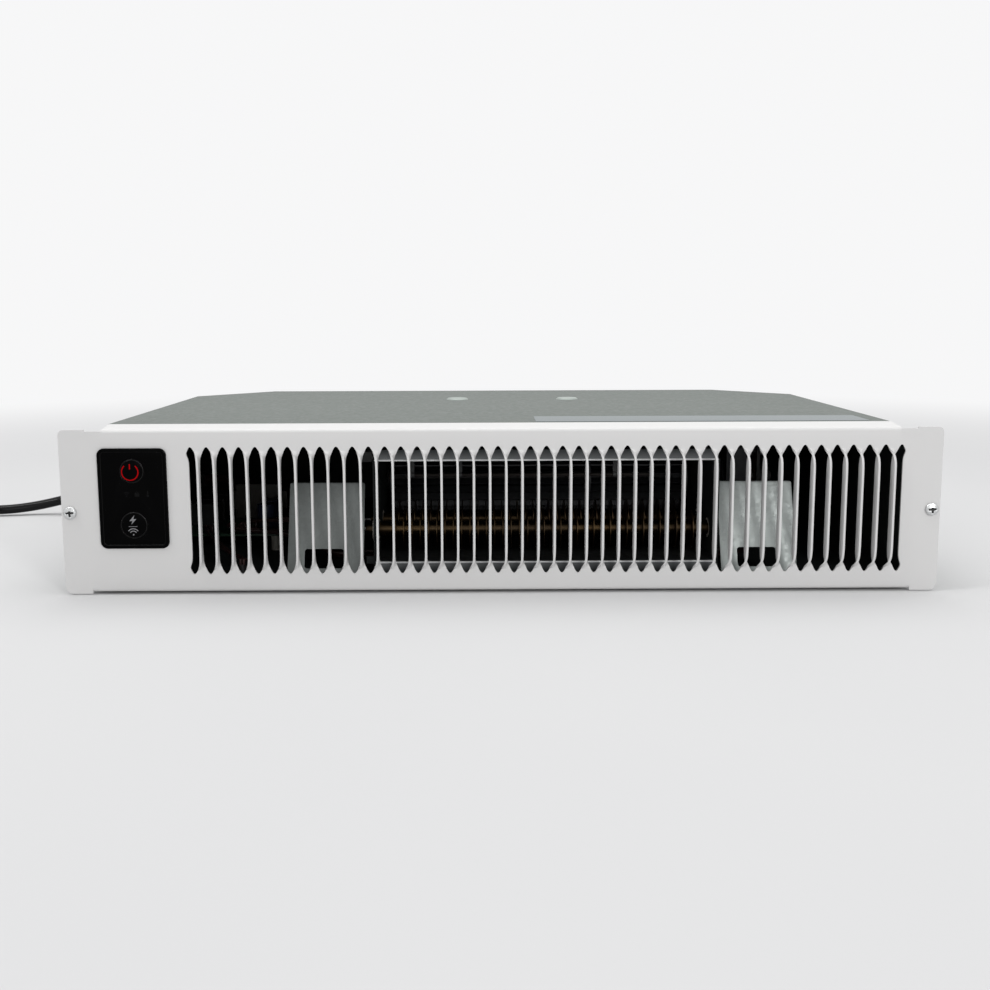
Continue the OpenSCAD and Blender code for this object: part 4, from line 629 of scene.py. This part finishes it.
# Lines left of the first slot; the panel's hole lies between the third and the fifth
PANEL_LINES = (-EAR, -BOTTOM_HALF, -226.95, -TOP_HALF, -190.85, -181)


def along(table, at):
    """The value of a table between its two nearest entries, level beyond its ends."""
    for (a, low), (b, high) in zip(table, table[1:]):
        if at <= b:
            return low + (high - low) * max(at - a, 0) / (b - a)
    return table[-1][1]


def depth_of(z):
    """How far a height lies in from the nearer tip of a slot."""
    return min(z - TIP_LOW, TIP_HIGH - z)


def grille_rows():
    """Heights of the rows, closer together where the bars turn."""
    return [FOLD_LOW, TIP_LOW - 0.6, *[TIP_LOW + d for d in DEPTHS], 28.4, 42, 56,
        *[TIP_HIGH - d for d in reversed(DEPTHS)], TIP_HIGH + 0.6, FOLD_HIGH]


def grille_columns():
    """Each column as a function of height: its x, how far that is off its bar's axis, and the axis."""
    def edge(x):
        return lambda z: (x, 0, None)

    def slot_side(middle, side, axis):
        def at(z):
            table = END_HALF if axis is None else SLOT_HALF
            x = middle + side * along(table, depth_of(z))
            return x, 0 if axis is None else x - axis, axis
        return at

    def bar_line(axis, share):
        return lambda z: (axis, share * (PITCH / 2 - along(SLOT_HALF, depth_of(z))), axis)

    def fold_end(side_line):
        return lambda z: (TOP_HALF, 0, None) if z > TIP_HIGH + 1 else side_line(z)

    columns = [edge(-x) for x in reversed(CORNER_LINES)] + [edge(x) for x in PANEL_LINES]
    for k in range(SLOTS):
        middle = FIRST_SLOT + k * PITCH
        before = middle - PITCH / 2 if k else None
        after = middle + PITCH / 2 if k < SLOTS - 1 else None
        left_side = slot_side(middle, -1, before)
        columns += [left_side if after else fold_end(left_side), slot_side(middle, 1, after)]
        if after is not None:
            columns += [bar_line(after, share) for share in (-0.5, 0, 0.5)]
    return columns + [edge(x) for x in (BOTTOM_HALF - 2, BOTTOM_HALF, EAR, *CORNER_LINES)]


def punched_sheet():
    """The flat plate with its slots, twisted bars and the panel's hole."""
    rows, columns = grille_rows(), grille_columns()
    count_x, count_z = len(columns) - 1, len(rows) - 1
    made = bmesh.new()
    bmesh.ops.create_grid(made, x_segments=count_x, y_segments=count_z, size=0.5)
    first = len(CORNER_LINES) + len(PANEL_LINES)
    slot_columns = {first + 5 * k for k in range(SLOTS)}
    panel_columns = (first - 4, first - 3)
    gone = []
    for face in made.faces:
        middle = face.calc_center_median()
        i = int((middle.x + 0.5) * count_x)
        z = rows[int((middle.y + 0.5) * count_z)]
        in_slot = i in slot_columns and TIP_LOW - NEAR < z < TIP_HIGH - NEAR
        in_panel = i in panel_columns and PANEL_HOLE[0] < z < PANEL_HOLE[1]
        if in_slot or in_panel:
            gone.append(face)
    for vert in made.verts:
        z = rows[round((vert.co.y + 0.5) * count_z)]
        x, off, axis = columns[round((vert.co.x + 0.5) * count_x)](z)
        if axis is None:
            vert.co = (x, SHEET / 2, z)
        else:
            turn = along(BAR_TURN, depth_of(z))
            forward = BAR_FORWARD * turn / BAR_TURN[-1][1]
            turn = radians(turn)
            vert.co = (axis + off * cos(turn), SHEET / 2 + off * sin(turn) - forward, z)
    bmesh.ops.delete(made, geom=gone, context="FACES")
    return made


def make_grille():
    made = punched_sheet()

    def rim(height, low, high):
        return [e for e in made.edges if e.is_boundary and all(abs(v.co.z - height) < NEAR
            and low - NEAR <= v.co.x <= high + NEAR for v in e.verts)]

    def pull(edges, move):
        grown = bmesh.ops.extrude_edge_only(made, edges=edges)["geom"]
        verts = [g for g in grown if isinstance(g, bmesh.types.BMVert)]
        bmesh.ops.translate(made, vec=move, verts=verts)
        return verts, [g for g in grown if isinstance(g, bmesh.types.BMEdge) and g.is_boundary]

    folds = (FOLD_HIGH, TOP_HALF, 1, 33, 5.6), (FOLD_LOW, BOTTOM_HALF, -1, 15, 0)
    for height, half, sign, depth, flare in folds:
        start = rim(height, -half, half)
        spun = bmesh.ops.spin(made, geom=start + list({v for e in start for v in e.verts}),
            cent=(0, FOLD_RADIUS, height), axis=(sign, 0, 0), angle=radians(-90), steps=5,
            use_duplicate=False)
        edges = [g for g in spun["geom_last"] if isinstance(g, bmesh.types.BMEdge)]
        far, _ = pull(edges, (0, depth - FOLD_RADIUS, 0))
        for vert in far:
            if abs(abs(vert.co.x) - half) < NEAR:
                vert.co.x += copysign(flare, vert.co.x)
    ear_start = PLATE_HIGH - EAR_STEP
    for side in (-1, 1):
        top = rim(FOLD_HIGH, *sorted((side * TOP_HALF, side * PLATE_HALF)))
        _, top = pull(top, (0, 0, ear_start - FOLD_HIGH))
        ear = [e for e in top if all(abs(v.co.x) > EAR - NEAR and abs(v.co.z - ear_start) < NEAR
            for v in e.verts)]
        pull(ear, (0, 0, EAR_STEP))
        pull(rim(FOLD_LOW, *sorted((side * BOTTOM_HALF, side * PLATE_HALF))), (0, 0, PLATE_LOW - FOLD_LOW))
    bmesh.ops.recalc_face_normals(made, faces=made.faces)
    for vert in made.verts:
        for height, radius, way in ((PLATE_HIGH, TOP_ROUND, 1), (PLATE_LOW, BOTTOM_ROUND, -1)):
            out = abs(vert.co.x) - PLATE_HALF + radius
            if out > 0:
                limit = height - way * (radius - sqrt(max(radius ** 2 - out ** 2, 0)))
                vert.co.z = way * min(way * vert.co.z, way * limit)
    bmesh.ops.remove_doubles(made, verts=[v for v in made.verts if abs(v.co.x) > EAR], dist=NEAR)
    add_piece("grille_sheet", made, [POWDER_COAT], "front_grille", thickness=SHEET,
        offset=0, even=True, edge=0.22, smooth=40)


make_grille()


# Casing: a folded tray and a lid with turned-down edges and two pressed pads

CASING_HALF, CORNER_START, CORNER_HALF = 237, 267, 184
LID_TOP, LID_LIP, FOLD_BEND = 93.8, 12, 1.4
TRAY_LOW, TRAY_HIGH, TRAY_FRONT = 2.8, 92.8, 1.4
# The tray's front corners are cut away above and in front of these, for the grille's top flange
NOTCH_LOW, NOTCH_BACK = 87.8, 48
HOLE_MARGIN = 3
LABEL_BOX = (22, 225, 49, 83)
INSIDE_POINT = Vector((0, 160, 50))


def casing_plan(inset, front):
    """Corners of the casing's outline, set in from the lid's, from the left front round the back."""
    lean = inset * tan(radians(22.5))
    side = -CASING_HALF + inset
    left = [(side, front), (side, CORNER_START - lean), (-CORNER_HALF + lean, CASING_DEPTH - inset)]
    return left + [(-x, y) for x, y in reversed(left)]


def round_hole(made, x, y, radius):
    """Cuts a round hole in the level face that holds the point."""
    middle = Vector((x, y))
    reach = radius + HOLE_MARGIN

    def level():
        return [f for f in made.faces if abs(f.normal.z) > 0.99]

    def nearest():
        return min(level(), key=lambda f: (f.calc_center_median().xy - middle).length)

    cuts = ((1, 0, 0), x - reach), ((1, 0, 0), x + reach), ((0, 1, 0), y - reach), ((0, 1, 0), y + reach)
    for axis, at in cuts:
        faces = level()
        geom = faces + list({e for f in faces for e in f.edges}) + list({v for f in faces for v in f.verts})
        bmesh.ops.bisect_plane(made, geom=geom, plane_co=Vector(axis) * at, plane_no=axis)
    bmesh.ops.subdivide_edges(made, edges=nearest().edges[:], cuts=3)
    face = nearest()
    bmesh.ops.inset_region(made, faces=[face], thickness=HOLE_MARGIN / 2, use_even_offset=True)
    for vert in face.verts:
        vert.co.xy = middle + (vert.co.xy - middle).normalized() * radius
    bmesh.ops.delete(made, geom=[face], context="FACES")


def folded_shell(plan, level, rim_level, open_edges):
    """A sheet with walls folded along its outline, except at the open edges, and rounded bends."""
    made = bmesh.new()
    base = made.faces.new([made.verts.new((x, y, level)) for x, y in plan])
    walls = [e for k, e in enumerate(base.edges) if k not in open_edges]
    grown = bmesh.ops.extrude_edge_only(made, edges=walls)["geom"]
    bmesh.ops.translate(made, vec=(0, 0, rim_level - level),
        verts=[g for g in grown if isinstance(g, bmesh.types.BMVert)])
    round_edges(made, [e for e in made.edges if not e.is_boundary], FOLD_BEND, 4)
    bmesh.ops.recalc_face_normals(made, faces=made.faces)
    return made


def point_outward(made):
    """Makes an open shell look away from a point inside it."""
    close_up(made)
    made.normal_update()
    if sum(f.calc_area() * f.normal.dot(f.calc_center_median() - INSIDE_POINT) for f in made.faces) < 0:
        bmesh.ops.reverse_faces(made, faces=made.faces)


def make_cover():
    front = [(-TOP_HALF, 2.3), (-TOP_HALF - 5, 33)]
    plan = front + casing_plan(0, 49) + [(-x, y) for x, y in reversed(front)]
    made = folded_shell(plan, LID_TOP, LID_TOP - LID_LIP, (0, 1, 7, 8, 9))
    point_outward(made)
    add_piece("lid_sheet", made, [COVER_ZINC, INNER_PAINTED_SHADE], "top_cover", thickness=1,
        edge=0.18, inner=1)
    pads = bmesh.new()
    profile = [(0, 1), (6.6, 1)] + arc_profile((6.9, 0.4), 0.6, 90, 25, 4) + [(8.1, 0.06), (8.35, -0.1)]
    for x in (-28.75, 54.55):
        turned(pads, profile, (x, 226, LID_TOP), (0, 0, 1), 48)
    close_up(pads)
    add_piece("lid_pads", pads, [PAD_PAINTED_HIGHLIGHT], smooth=60)


def make_tray():
    made = folded_shell(casing_plan(1.2, TRAY_FRONT), TRAY_LOW, TRAY_HIGH, (5,))
    for at, axis in (((0, NOTCH_BACK, 0), (0, 1, 0)), ((0, 0, NOTCH_LOW), (0, 0, 1))):
        geom = made.verts[:] + made.edges[:] + made.faces[:]
        bmesh.ops.bisect_plane(made, geom=geom, plane_co=at, plane_no=axis)
    middles = [(f, f.calc_center_median()) for f in made.faces]
    corners = [f for f, m in middles if m.z > NOTCH_LOW and m.y < NOTCH_BACK]
    bmesh.ops.delete(made, geom=corners, context="FACES")
    for x in (-150, 150):
        round_hole(made, x, 290, 2.5)
    point_outward(made)
    add_piece("tray_sheet", made, [TRAY_ZINC, INNER_PAINTED_SHADE], "casing_tray", thickness=1,
        edge=0.18, inner=1)


def make_label():
    film = plate_from([flat_outline(*LABEL_BOX, 2)], 0.2, 0.06)
    film.transform(Matrix.Translation((0, 0, LID_TOP + 0.1)))
    add_piece("blank_label", film, [LABEL_FILM], "rating_label", smooth=30)


def make_feet():
    made = bmesh.new()
    profile = [(0, 0.4), (4.4, 0.4), (5, 0)] + arc_profile((6.2, 0.8), 0.8, -90, 0, 4)
    profile += [(6.9, TRAY_LOW), (0, TRAY_LOW)]
    for x in (-201, 201):
        for y in (29, 252):
            turned(made, profile, (x, y, 0), (0, 0, 1), 32)
    close_up(made)
    add_piece("rubber_foot_set", made, [RUBBER], "rubber_feet", smooth=40)


def make_mouth_lips():
    """Near white strips along the duct's sheet above and below the fan's mouth: a painted highlight where
    light catches its bends.
    """
    made = bmesh.new()
    for z in (MOUTH_MIDDLE + MOUTH_HALF - 0.1, MOUTH_MIDDLE - MOUTH_HALF - 0.9):
        block(made, (-74, 19.75, z), (127, 20.3, z + 1), 0.2)
    add_piece("mouth_lips", made, [LIP_PAINTED_HIGHLIGHT], smooth=30)


def make_baffle(side, x0):
    """A sheet with a foot and a window, leaning back from the front edge of the tray."""
    x1, back, high, t = x0 + 45, 21, 54.6, 0.8
    front, foot = 19, TRAY_LOW + 1
    sheet = plate_from([flat_outline(x0, x1, 0.3, hypot(back, high), 1.2),
        flat_outline(x0 + 10, x0 + 33, 6.6, 18.2, 1.6)[::-1]], t, 0.12)
    lean = Matrix.Translation((0, front, foot)) @ Matrix.Rotation(-atan(back / high), 4, "X")
    made = bmesh.new()
    join(made, sheet, lean @ upright(0, t))
    block(made, (x0, front + 0.1, foot), (x1, front + 12, foot + t), 0.15)
    add_piece(side + "_baffle_sheet", made, [BAFFLE_ZINC_LEFT_PAINTED_SHADE[side]], side + "_baffle",
        smooth=30)


make_cover()
make_tray()
make_label()
make_feet()
make_mouth_lips()
make_baffle("left", -126.5)
make_baffle("right", 130.5)


# Pan-head screws with a cross recess

def screw_head(across, high, recess):
    """A head that lies in X and Y and stands up along Z from zero, with a dark floor in its recess."""
    arm, half = recess / 2, recess * 0.13
    tip = half * 0.75
    quarter = [(arm, -tip), (arm, tip), (half, half)]
    cross = []
    for _ in range(4):
        cross += quarter
        quarter = [(-y, x) for x, y in quarter]
    made = plate_from([circle_outline(0, 0, across / 2, 48), cross], high, high * 0.3, 4)
    bmesh.ops.translate(made, vec=(0, 0, high / 2), verts=made.verts)
    radius = (across ** 2 / 4 + high ** 2) / (2 * high)
    for vert in made.verts:
        if vert.co.z > high * 0.35:
            drop = radius - sqrt(max(radius ** 2 - vert.co.xy.length_squared, 0))
            vert.co.z -= drop * 0.55 * vert.co.z / high
    bmesh.ops.recalc_face_normals(made, faces=made.faces)
    floor = bmesh.new()
    bmesh.ops.create_circle(floor, cap_ends=True, segments=24, radius=recess * 0.55)
    join(made, floor, Matrix.Translation((0, 0, high * 0.4)), finish=1)
    return made


def make_screws(name, node, places, across, high, recess):
    made = bmesh.new()
    for place, out in places:
        turn = Vector((0, 0, 1)).rotation_difference(Vector(out)).to_matrix().to_4x4() @ rotated(4, "Z")
        join(made, screw_head(across, high, recess), Matrix.Translation(place) @ turn)
    add_piece(name, made, [SCREW_ZINC, RECESS_DARK], node, smooth=45)


DIAGONAL = sqrt(0.5)
LID_SCREW_Z = LID_TOP - LID_LIP / 2
ear_screws = [((x, 0, 47.8), (0, -1, 0)) for x in (-245.125, 245.125)]
lid_screws = [((x, CASING_DEPTH, LID_SCREW_Z), (0, 1, 0)) for x in (-90, 90)]
lid_screws += [((s * 210.5, 293.5, LID_SCREW_Z), (s * DIAGONAL, DIAGONAL, 0)) for s in (-1, 1)]
make_screws("grille_screw_heads", "grille_screws", ear_screws, 7.5, 2.4, 4.4)
make_screws("lid_screw_heads", "cover_screws", lid_screws, 6.8, 2, 4)


# Control panel

PANEL_X, PANEL_LOW, PANEL_HIGH = (-228.4, -189.4), 27.1, 84.6
PANEL_MIDDLE = -208.9
# Middle height and radius of each button, how far it stands out, its rim's rounding and its dome's height
BUTTONS = {"power": (71.7, 6.7), "mode": (40.7, 7.5)}
BUTTON_OUT, BUTTON_RIM, DOME = 1.2, 0.42, 0.5


def make_panel():
    """A front plate with the buttons' holes, a raised rim and a wall behind that fills the plate's hole."""
    holes = [circle_outline(PANEL_MIDDLE, z, r + 0.15, 64)[::-1] for z, r in BUTTONS.values()]
    outer = flat_outline(*PANEL_X, PANEL_LOW, PANEL_HIGH, 4, 8)
    inner = flat_outline(PANEL_X[0] + 2.2, PANEL_X[1] - 2.2, PANEL_LOW + 2.2, PANEL_HIGH - 2.2, 2, 8)
    wall = flat_outline(-226.9, -190.9, 28.6, 83.1, 2.5)
    hollow = flat_outline(-225.3, -192.5, 30.2, 81.5, 1)
    made = bmesh.new()
    for outlines, front, thickness, rounding, segments in (([outer, *holes], -0.95, 1.0, 0.12, 2),
            ([outer, inner[::-1]], -1.2, 1.15, 0.35, 3), ([wall, hollow[::-1]], 0.05, 15.9, 0.2, 2)):
        join(made, plate_from(outlines, thickness, rounding, segments), upright(front, thickness))
    made.normal_update()
    for face in made.faces:
        normal = face.normal
        tilted = -0.97 < normal.y < -0.2 and hypot(normal.x, normal.z) > 0.2
        if tilted and face.calc_center_median().y < -0.83:
            face.material_index = 1
    add_piece("panel_moulding", made, [PANEL_BLACK, CHAMFER_GLOSS], "control_panel",
        smooth=35)


def button_height(r, radius):
    """How far the domed face stands out at a distance from its middle."""
    ball = (radius ** 2 + DOME ** 2) / (2 * DOME)
    return DOME - (ball - sqrt(ball ** 2 - min(r, radius) ** 2))


def make_button(name):
    z, radius = BUTTONS[name]
    flat = radius - BUTTON_RIM
    profile = [(radius * k / 10, BUTTON_OUT + button_height(radius * k / 10, radius)) for k in range(10)]
    top = BUTTON_OUT + button_height(flat, radius)
    profile += arc_profile((flat, top - BUTTON_RIM), BUTTON_RIM, 90, 0, 6) + [(radius, -1.9), (0, -1.9)]
    made = bmesh.new()
    turned(made, profile, (PANEL_MIDDLE, 0, z), (0, -1, 0), 64)
    close_up(made)
    for face in made.faces:
        middle = face.calc_center_median()
        if hypot(middle.x - PANEL_MIDDLE, middle.z - z) > flat and middle.y < -0.8:
            face.material_index = 1
    add_piece(name + "_cap", made, [BUTTON_GLOSS, CHAMFER_GLOSS], name + "_button",
        body=name, smooth=50)


def add_symbol(name, outlines, finish, button=None):
    """A thin printed mark on the panel's face, or on a button, whose dome it follows."""
    made = bmesh.new()
    for outline in outlines:
        flat = plate_from([outline], 0.05)
        bmesh.ops.subdivide_edges(flat, edges=[e for e in flat.edges if e.calc_length() > 0.8], cuts=3,
            use_grid_fill=True)
        join(made, flat, upright(-0.02, 0.05))
    for vert in made.verts:
        if button:
            z, radius = BUTTONS[button]
            r = hypot(vert.co.x - PANEL_MIDDLE, vert.co.z - z)
            vert.co.y -= BUTTON_OUT + button_height(r, radius) + 0.015
        else:
            vert.co.y -= 0.97
    bmesh.ops.recalc_face_normals(made, faces=made.faces)
    add_piece(name, made, [finish], body=button or "casing",
        smooth=60)


def arc_band(x, z, radius, width, start, end, steps=24):
    """Outline of part of a ring, from one angle to another, with square ends."""
    return (arc_profile((x, z), radius + width / 2, start, end, steps)
        + arc_profile((x, z), radius - width / 2, end, start, steps))


def make_symbols():
    x = PANEL_MIDDLE - 1
    add_symbol("power_symbol", [arc_band(x, 71.2, 4.65, 0.62, -229, 49, 48),
        flat_outline(x - 0.33, x + 0.33, 72.8, 75.8, 0.2, 2)], SYMBOL_RED, "power")
    x = PANEL_MIDDLE - 0.5
    zigzag = (0.9, 46.5), (-2, 43.2), (-0.2, 43.2), (-0.9, 41.2), (2, 44.3), (0.25, 44.3)
    bar = flat_outline(x - 2.45, x + 2.45, 39.9, 40.15, 0.1, 2)
    add_symbol("boost_symbol", [[(x + across, z) for across, z in zigzag], bar], SYMBOL_GREY, "mode")
    add_symbol("radio_symbol", [circle_outline(x, 35.3, 0.45, 16), arc_band(x, 35.3, 2.1, 0.5, 35, 145, 16),
        arc_band(x, 35.3, 3.45, 0.5, 38, 142, 20)], SYMBOL_GREY, "mode")
    z = 58.6
    left, middle, right = PANEL_MIDDLE - 3.6, PANEL_MIDDLE + 2.3, PANEL_MIDDLE + 8.4
    add_symbol("status_symbols", [
        circle_outline(left, z - 1.2, 0.35, 12),
        arc_band(left, z - 1.2, 1.3, 0.35, 50, 130, 8),
        arc_band(left, z - 1.2, 2.2, 0.35, 50, 130, 12),
        flat_outline(middle - 1.3, middle + 1.3, z - 1.5, z + 0.4, 0.2, 2),
        arc_band(middle, z + 0.4, 0.8, 0.3, 0, 180, 10),
        flat_outline(right - 0.35, right + 0.35, z - 0.6, z + 1.7, 0.3, 3),
        circle_outline(right, z - 1.0, 0.7, 16)], SYMBOL_DIM)


make_panel()
make_button("power")
make_button("mode")
make_symbols()


# Finishes of the parts inside, which keep their own shape; several are darkened well below their own
# colours as painted shade

def heat_tint_with_painted_shade():
    """Finned tube coloured by heat, straw and brown shifting to dark along its length, and darkened overall
    as painted shade.
    """
    finish = Finish("heat_tinted_steel", metallic=0.9)
    skin = finish.effect(SPANGLE, Cell_scale=260, Cell_share=0.3, Roll_share=0.2)
    band = noise(finish.tree, finish.place, 26, 3)
    tint = finish.blend(band, (0.075, 0.045, 0.016), (0.02, 0.016, 0.013))
    return finish.complete(finish.shaded(tint, skin["Shade"]), (0.2, 0.42), 0.06, skin["Height"], band)


def wire_colours():
    """Insulated wires whose colour changes from run to run with their place."""
    finish = Finish("wire_insulation", specular=0.4)
    patch = noise(finish.tree, finish.place, 6, 0)
    skin = finish.effect(GRAIN, Grain_scale=900, Grain_share=0.05)
    tint = finish.blend(patch, (0.012, 0.012, 0.012), (0.05, 0.01, 0.008))
    return finish.complete(finish.shaded(tint, skin["Shade"]), (0.35, 0.5), 0.05, skin["Height"])


INSIDE = {
    TRAY_ZINC: ["grille_brackets"],
    DUCT_PAINTED_LIGHT_AND_SHADE: ["fan_scroll", "duct_roof"],
    INNER_PAINTED_SHADE: ["fan_plate_left", "fan_plate_right"],
    SCREW_ZINC: ["fan_plate_screws", "baffle_screws", "motor_screws", "motor_spacers"],
    zinc("shaft_steel", (0.035, 0.034, 0.033), (0.45, 0.6), metallic=0.5, roll=0.2): ["fan_shaft"],
    # Steel darkened near to black: painted shade inside the casing
    zinc("dark_steel_painted_shade", (0.012, 0.0125, 0.0125), (0.5, 0.65), metallic=0.3, roll=0.2): [
        "motor_brackets", "sensor_clips"],
    coated("cutout_black", (0.012, 0.012, 0.012), (0.3, 0.45)): ["thermal_cutout"],
    heat_tint_with_painted_shade(): ["front_element", "rear_element"],
    coated("ceramic", (0.55, 0.52, 0.46), (0.35, 0.5), grain=(700, 0.06)): ["element_bushes"],
    coated("terminal_steel", (0.5, 0.5, 0.5), (0.25, 0.4), metallic=0.9): ["element_terminals"],
    # The impeller is darkened near to black: painted shade inside the duct
    coated("impeller_painted_shade", (0.02, 0.021, 0.023), metallic=0.3): ["impeller"],
    coated("bush_bronze", (0.42, 0.27, 0.12), (0.3, 0.45), metallic=0.9): ["shaft_bush", "motor_bushes"],
    RUBBER: ["bush_grommet"],
    zinc("lamination_steel", (0.03, 0.031, 0.034), (0.45, 0.6), metallic=0.5, roll=0.3): [
        "motor_rotor", "motor_stator"],
    zinc("winding_copper", (0.2, 0.08, 0.035), (0.25, 0.4), metallic=0.9, roll=0.4): ["motor_coil"],
    coated("fuse_film", (0.75, 0.73, 0.7), (0.3, 0.4)): ["thermal_fuse"],
    # The sensor bulb is darkened near to black: painted shade inside the duct
    coated("bulb_painted_shade", (0.012, 0.01, 0.009), (0.55, 0.7), specular=0.1, metallic=0.2): ["sensor_bulb"],
    coated("sensor_black", (0.02, 0.02, 0.02), (0.35, 0.5)): ["room_sensor", "panel_switches"],
    # The boards' green is darkened near to black: painted shade inside the casing
    coated("circuit_board", (0.006, 0.025, 0.012), (0.3, 0.45), cloud=(40, 0.3)): [
        "panel_board", "power_board"],
    coated("pale_moulding", (0.24, 0.23, 0.2)): ["terminal_block", "board_standoffs"],
    # The relays are darkened to black: painted shade inside the casing
    coated("relay_black", (0.01, 0.01, 0.01), (0.35, 0.5)): ["board_relays"],
    # The transformer's tape is darkened near to black: painted shade inside the casing
    coated("transformer_tape", (0.02, 0.015, 0.01), (0.4, 0.6), cloud=(60, 0.2)): ["board_transformer"],
    coated("capacitor_film", (0.012, 0.016, 0.035), (0.25, 0.4)): ["board_capacitors"],
    coated("earth_brass", (0.5, 0.38, 0.17), (0.3, 0.45), metallic=0.9): ["earth_screw"],
    wire_colours(): ["supply_wiring", "element_wiring", "motor_wiring", "panel_wiring", "sensor_wiring"],
}

for finish, nodes in INSIDE.items():
    for node in nodes:
        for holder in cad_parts[node].material_slots:
            holder.material = finish


# Floor, backdrop and light

BACKDROP = (0.93, 0.93, 0.935, 1)
FLOOR_HALF, FADE_START, FADE_END = 6, 0.6, 1.5
LAMPS = {
    "overhead_softbox": ((0.2, 0.3, 1.9), (0, 0, 0), (2.4, 1.8), 27),
    "front_softbox": ((0.4, -2.2, 0.3), (0, 0, 0.05), (2.0, 0.5), 4),
    "key_lamp": ((1.0, -2.0, 1.0), (0, 0, 0.05), (0.3, 0.3), 12),
    "side_strip": ((-1.1, -0.5, 1.7), (-0.3, 0, 0), (0.22, 1.6), 11),
}


def shown_rays(tree):
    """One for rays from the camera, and for those that polished or clear things send on."""
    path = add_node(tree, "LightPath").outputs
    mirrored = sums(tree, "MAXIMUM", path["Is Glossy Ray"], path["Is Transmission Ray"])
    return sums(tree, "MAXIMUM", path["Is Camera Ray"], mirrored)


def pale_floor():
    """A matt floor that turns into the backdrop's own colour with distance, as far as it is seen."""
    pale = Finish("pale_floor", specular=0.1)
    tree = pale.tree
    pale.shader.inputs["Roughness"].default_value = 0.9
    tone = pale.blend(noise(tree, pale.place, 3, 2), (0.6, 0.6, 0.605), (0.63, 0.63, 0.63))
    pale.feed("Base Color", tone)
    bare = add_node(tree, "Emission", {"Color": BACKDROP})
    away = add_node(tree, "VectorMath", {0: pale.place}, operation="LENGTH").outputs["Value"]
    fade = ramp(tree, away, FADE_START, FADE_END, "SMOOTHSTEP")
    seen = sums(tree, "MULTIPLY", fade, shown_rays(tree))
    mixed = add_node(tree, "MixShader", {0: seen, 1: pale.shader.outputs[0], 2: bare.outputs[0]})
    tree.links.new(mixed.outputs[0], tree.nodes["Material Output"].inputs["Surface"])
    return pale.made


def add_stage():
    made = bmesh.new()
    bmesh.ops.create_grid(made, x_segments=1, y_segments=1, size=FLOOR_HALF)
    mesh = mesh_from("floor", made)
    mesh.materials.append(pale_floor())
    floor = add_object("floor", mesh)


def add_world():
    world = bpy.data.worlds.new("studio")
    bpy.context.scene.world = world
    world.use_nodes = True
    tree = world.node_tree
    sky = tree.nodes["Background"]
    sky.inputs["Color"].default_value = (0.985, 0.99, 1, 1)
    sky.inputs["Strength"].default_value = 0.5
    shown = add_node(tree, "Background", {"Color": BACKDROP})
    choose = add_node(tree, "MixShader", {0: shown_rays(tree), 1: sky.outputs[0], 2: shown.outputs[0]})
    tree.links.new(choose.outputs[0], tree.nodes["World Output"].inputs["Surface"])


def add_lamp(name, place, aim, size, watts):
    data = bpy.data.lights.new(name, "AREA")
    data.shape = "RECTANGLE"
    data.size, data.size_y = size
    data.energy = watts
    lamp = add_object(name, data)
    lamp.location = place
    lamp.rotation_euler = (Vector(aim) - Vector(place)).to_track_quat("-Z", "Y").to_euler()


add_stage()
add_world()
for name, lamp in LAMPS.items():
    add_lamp(name, *lamp)
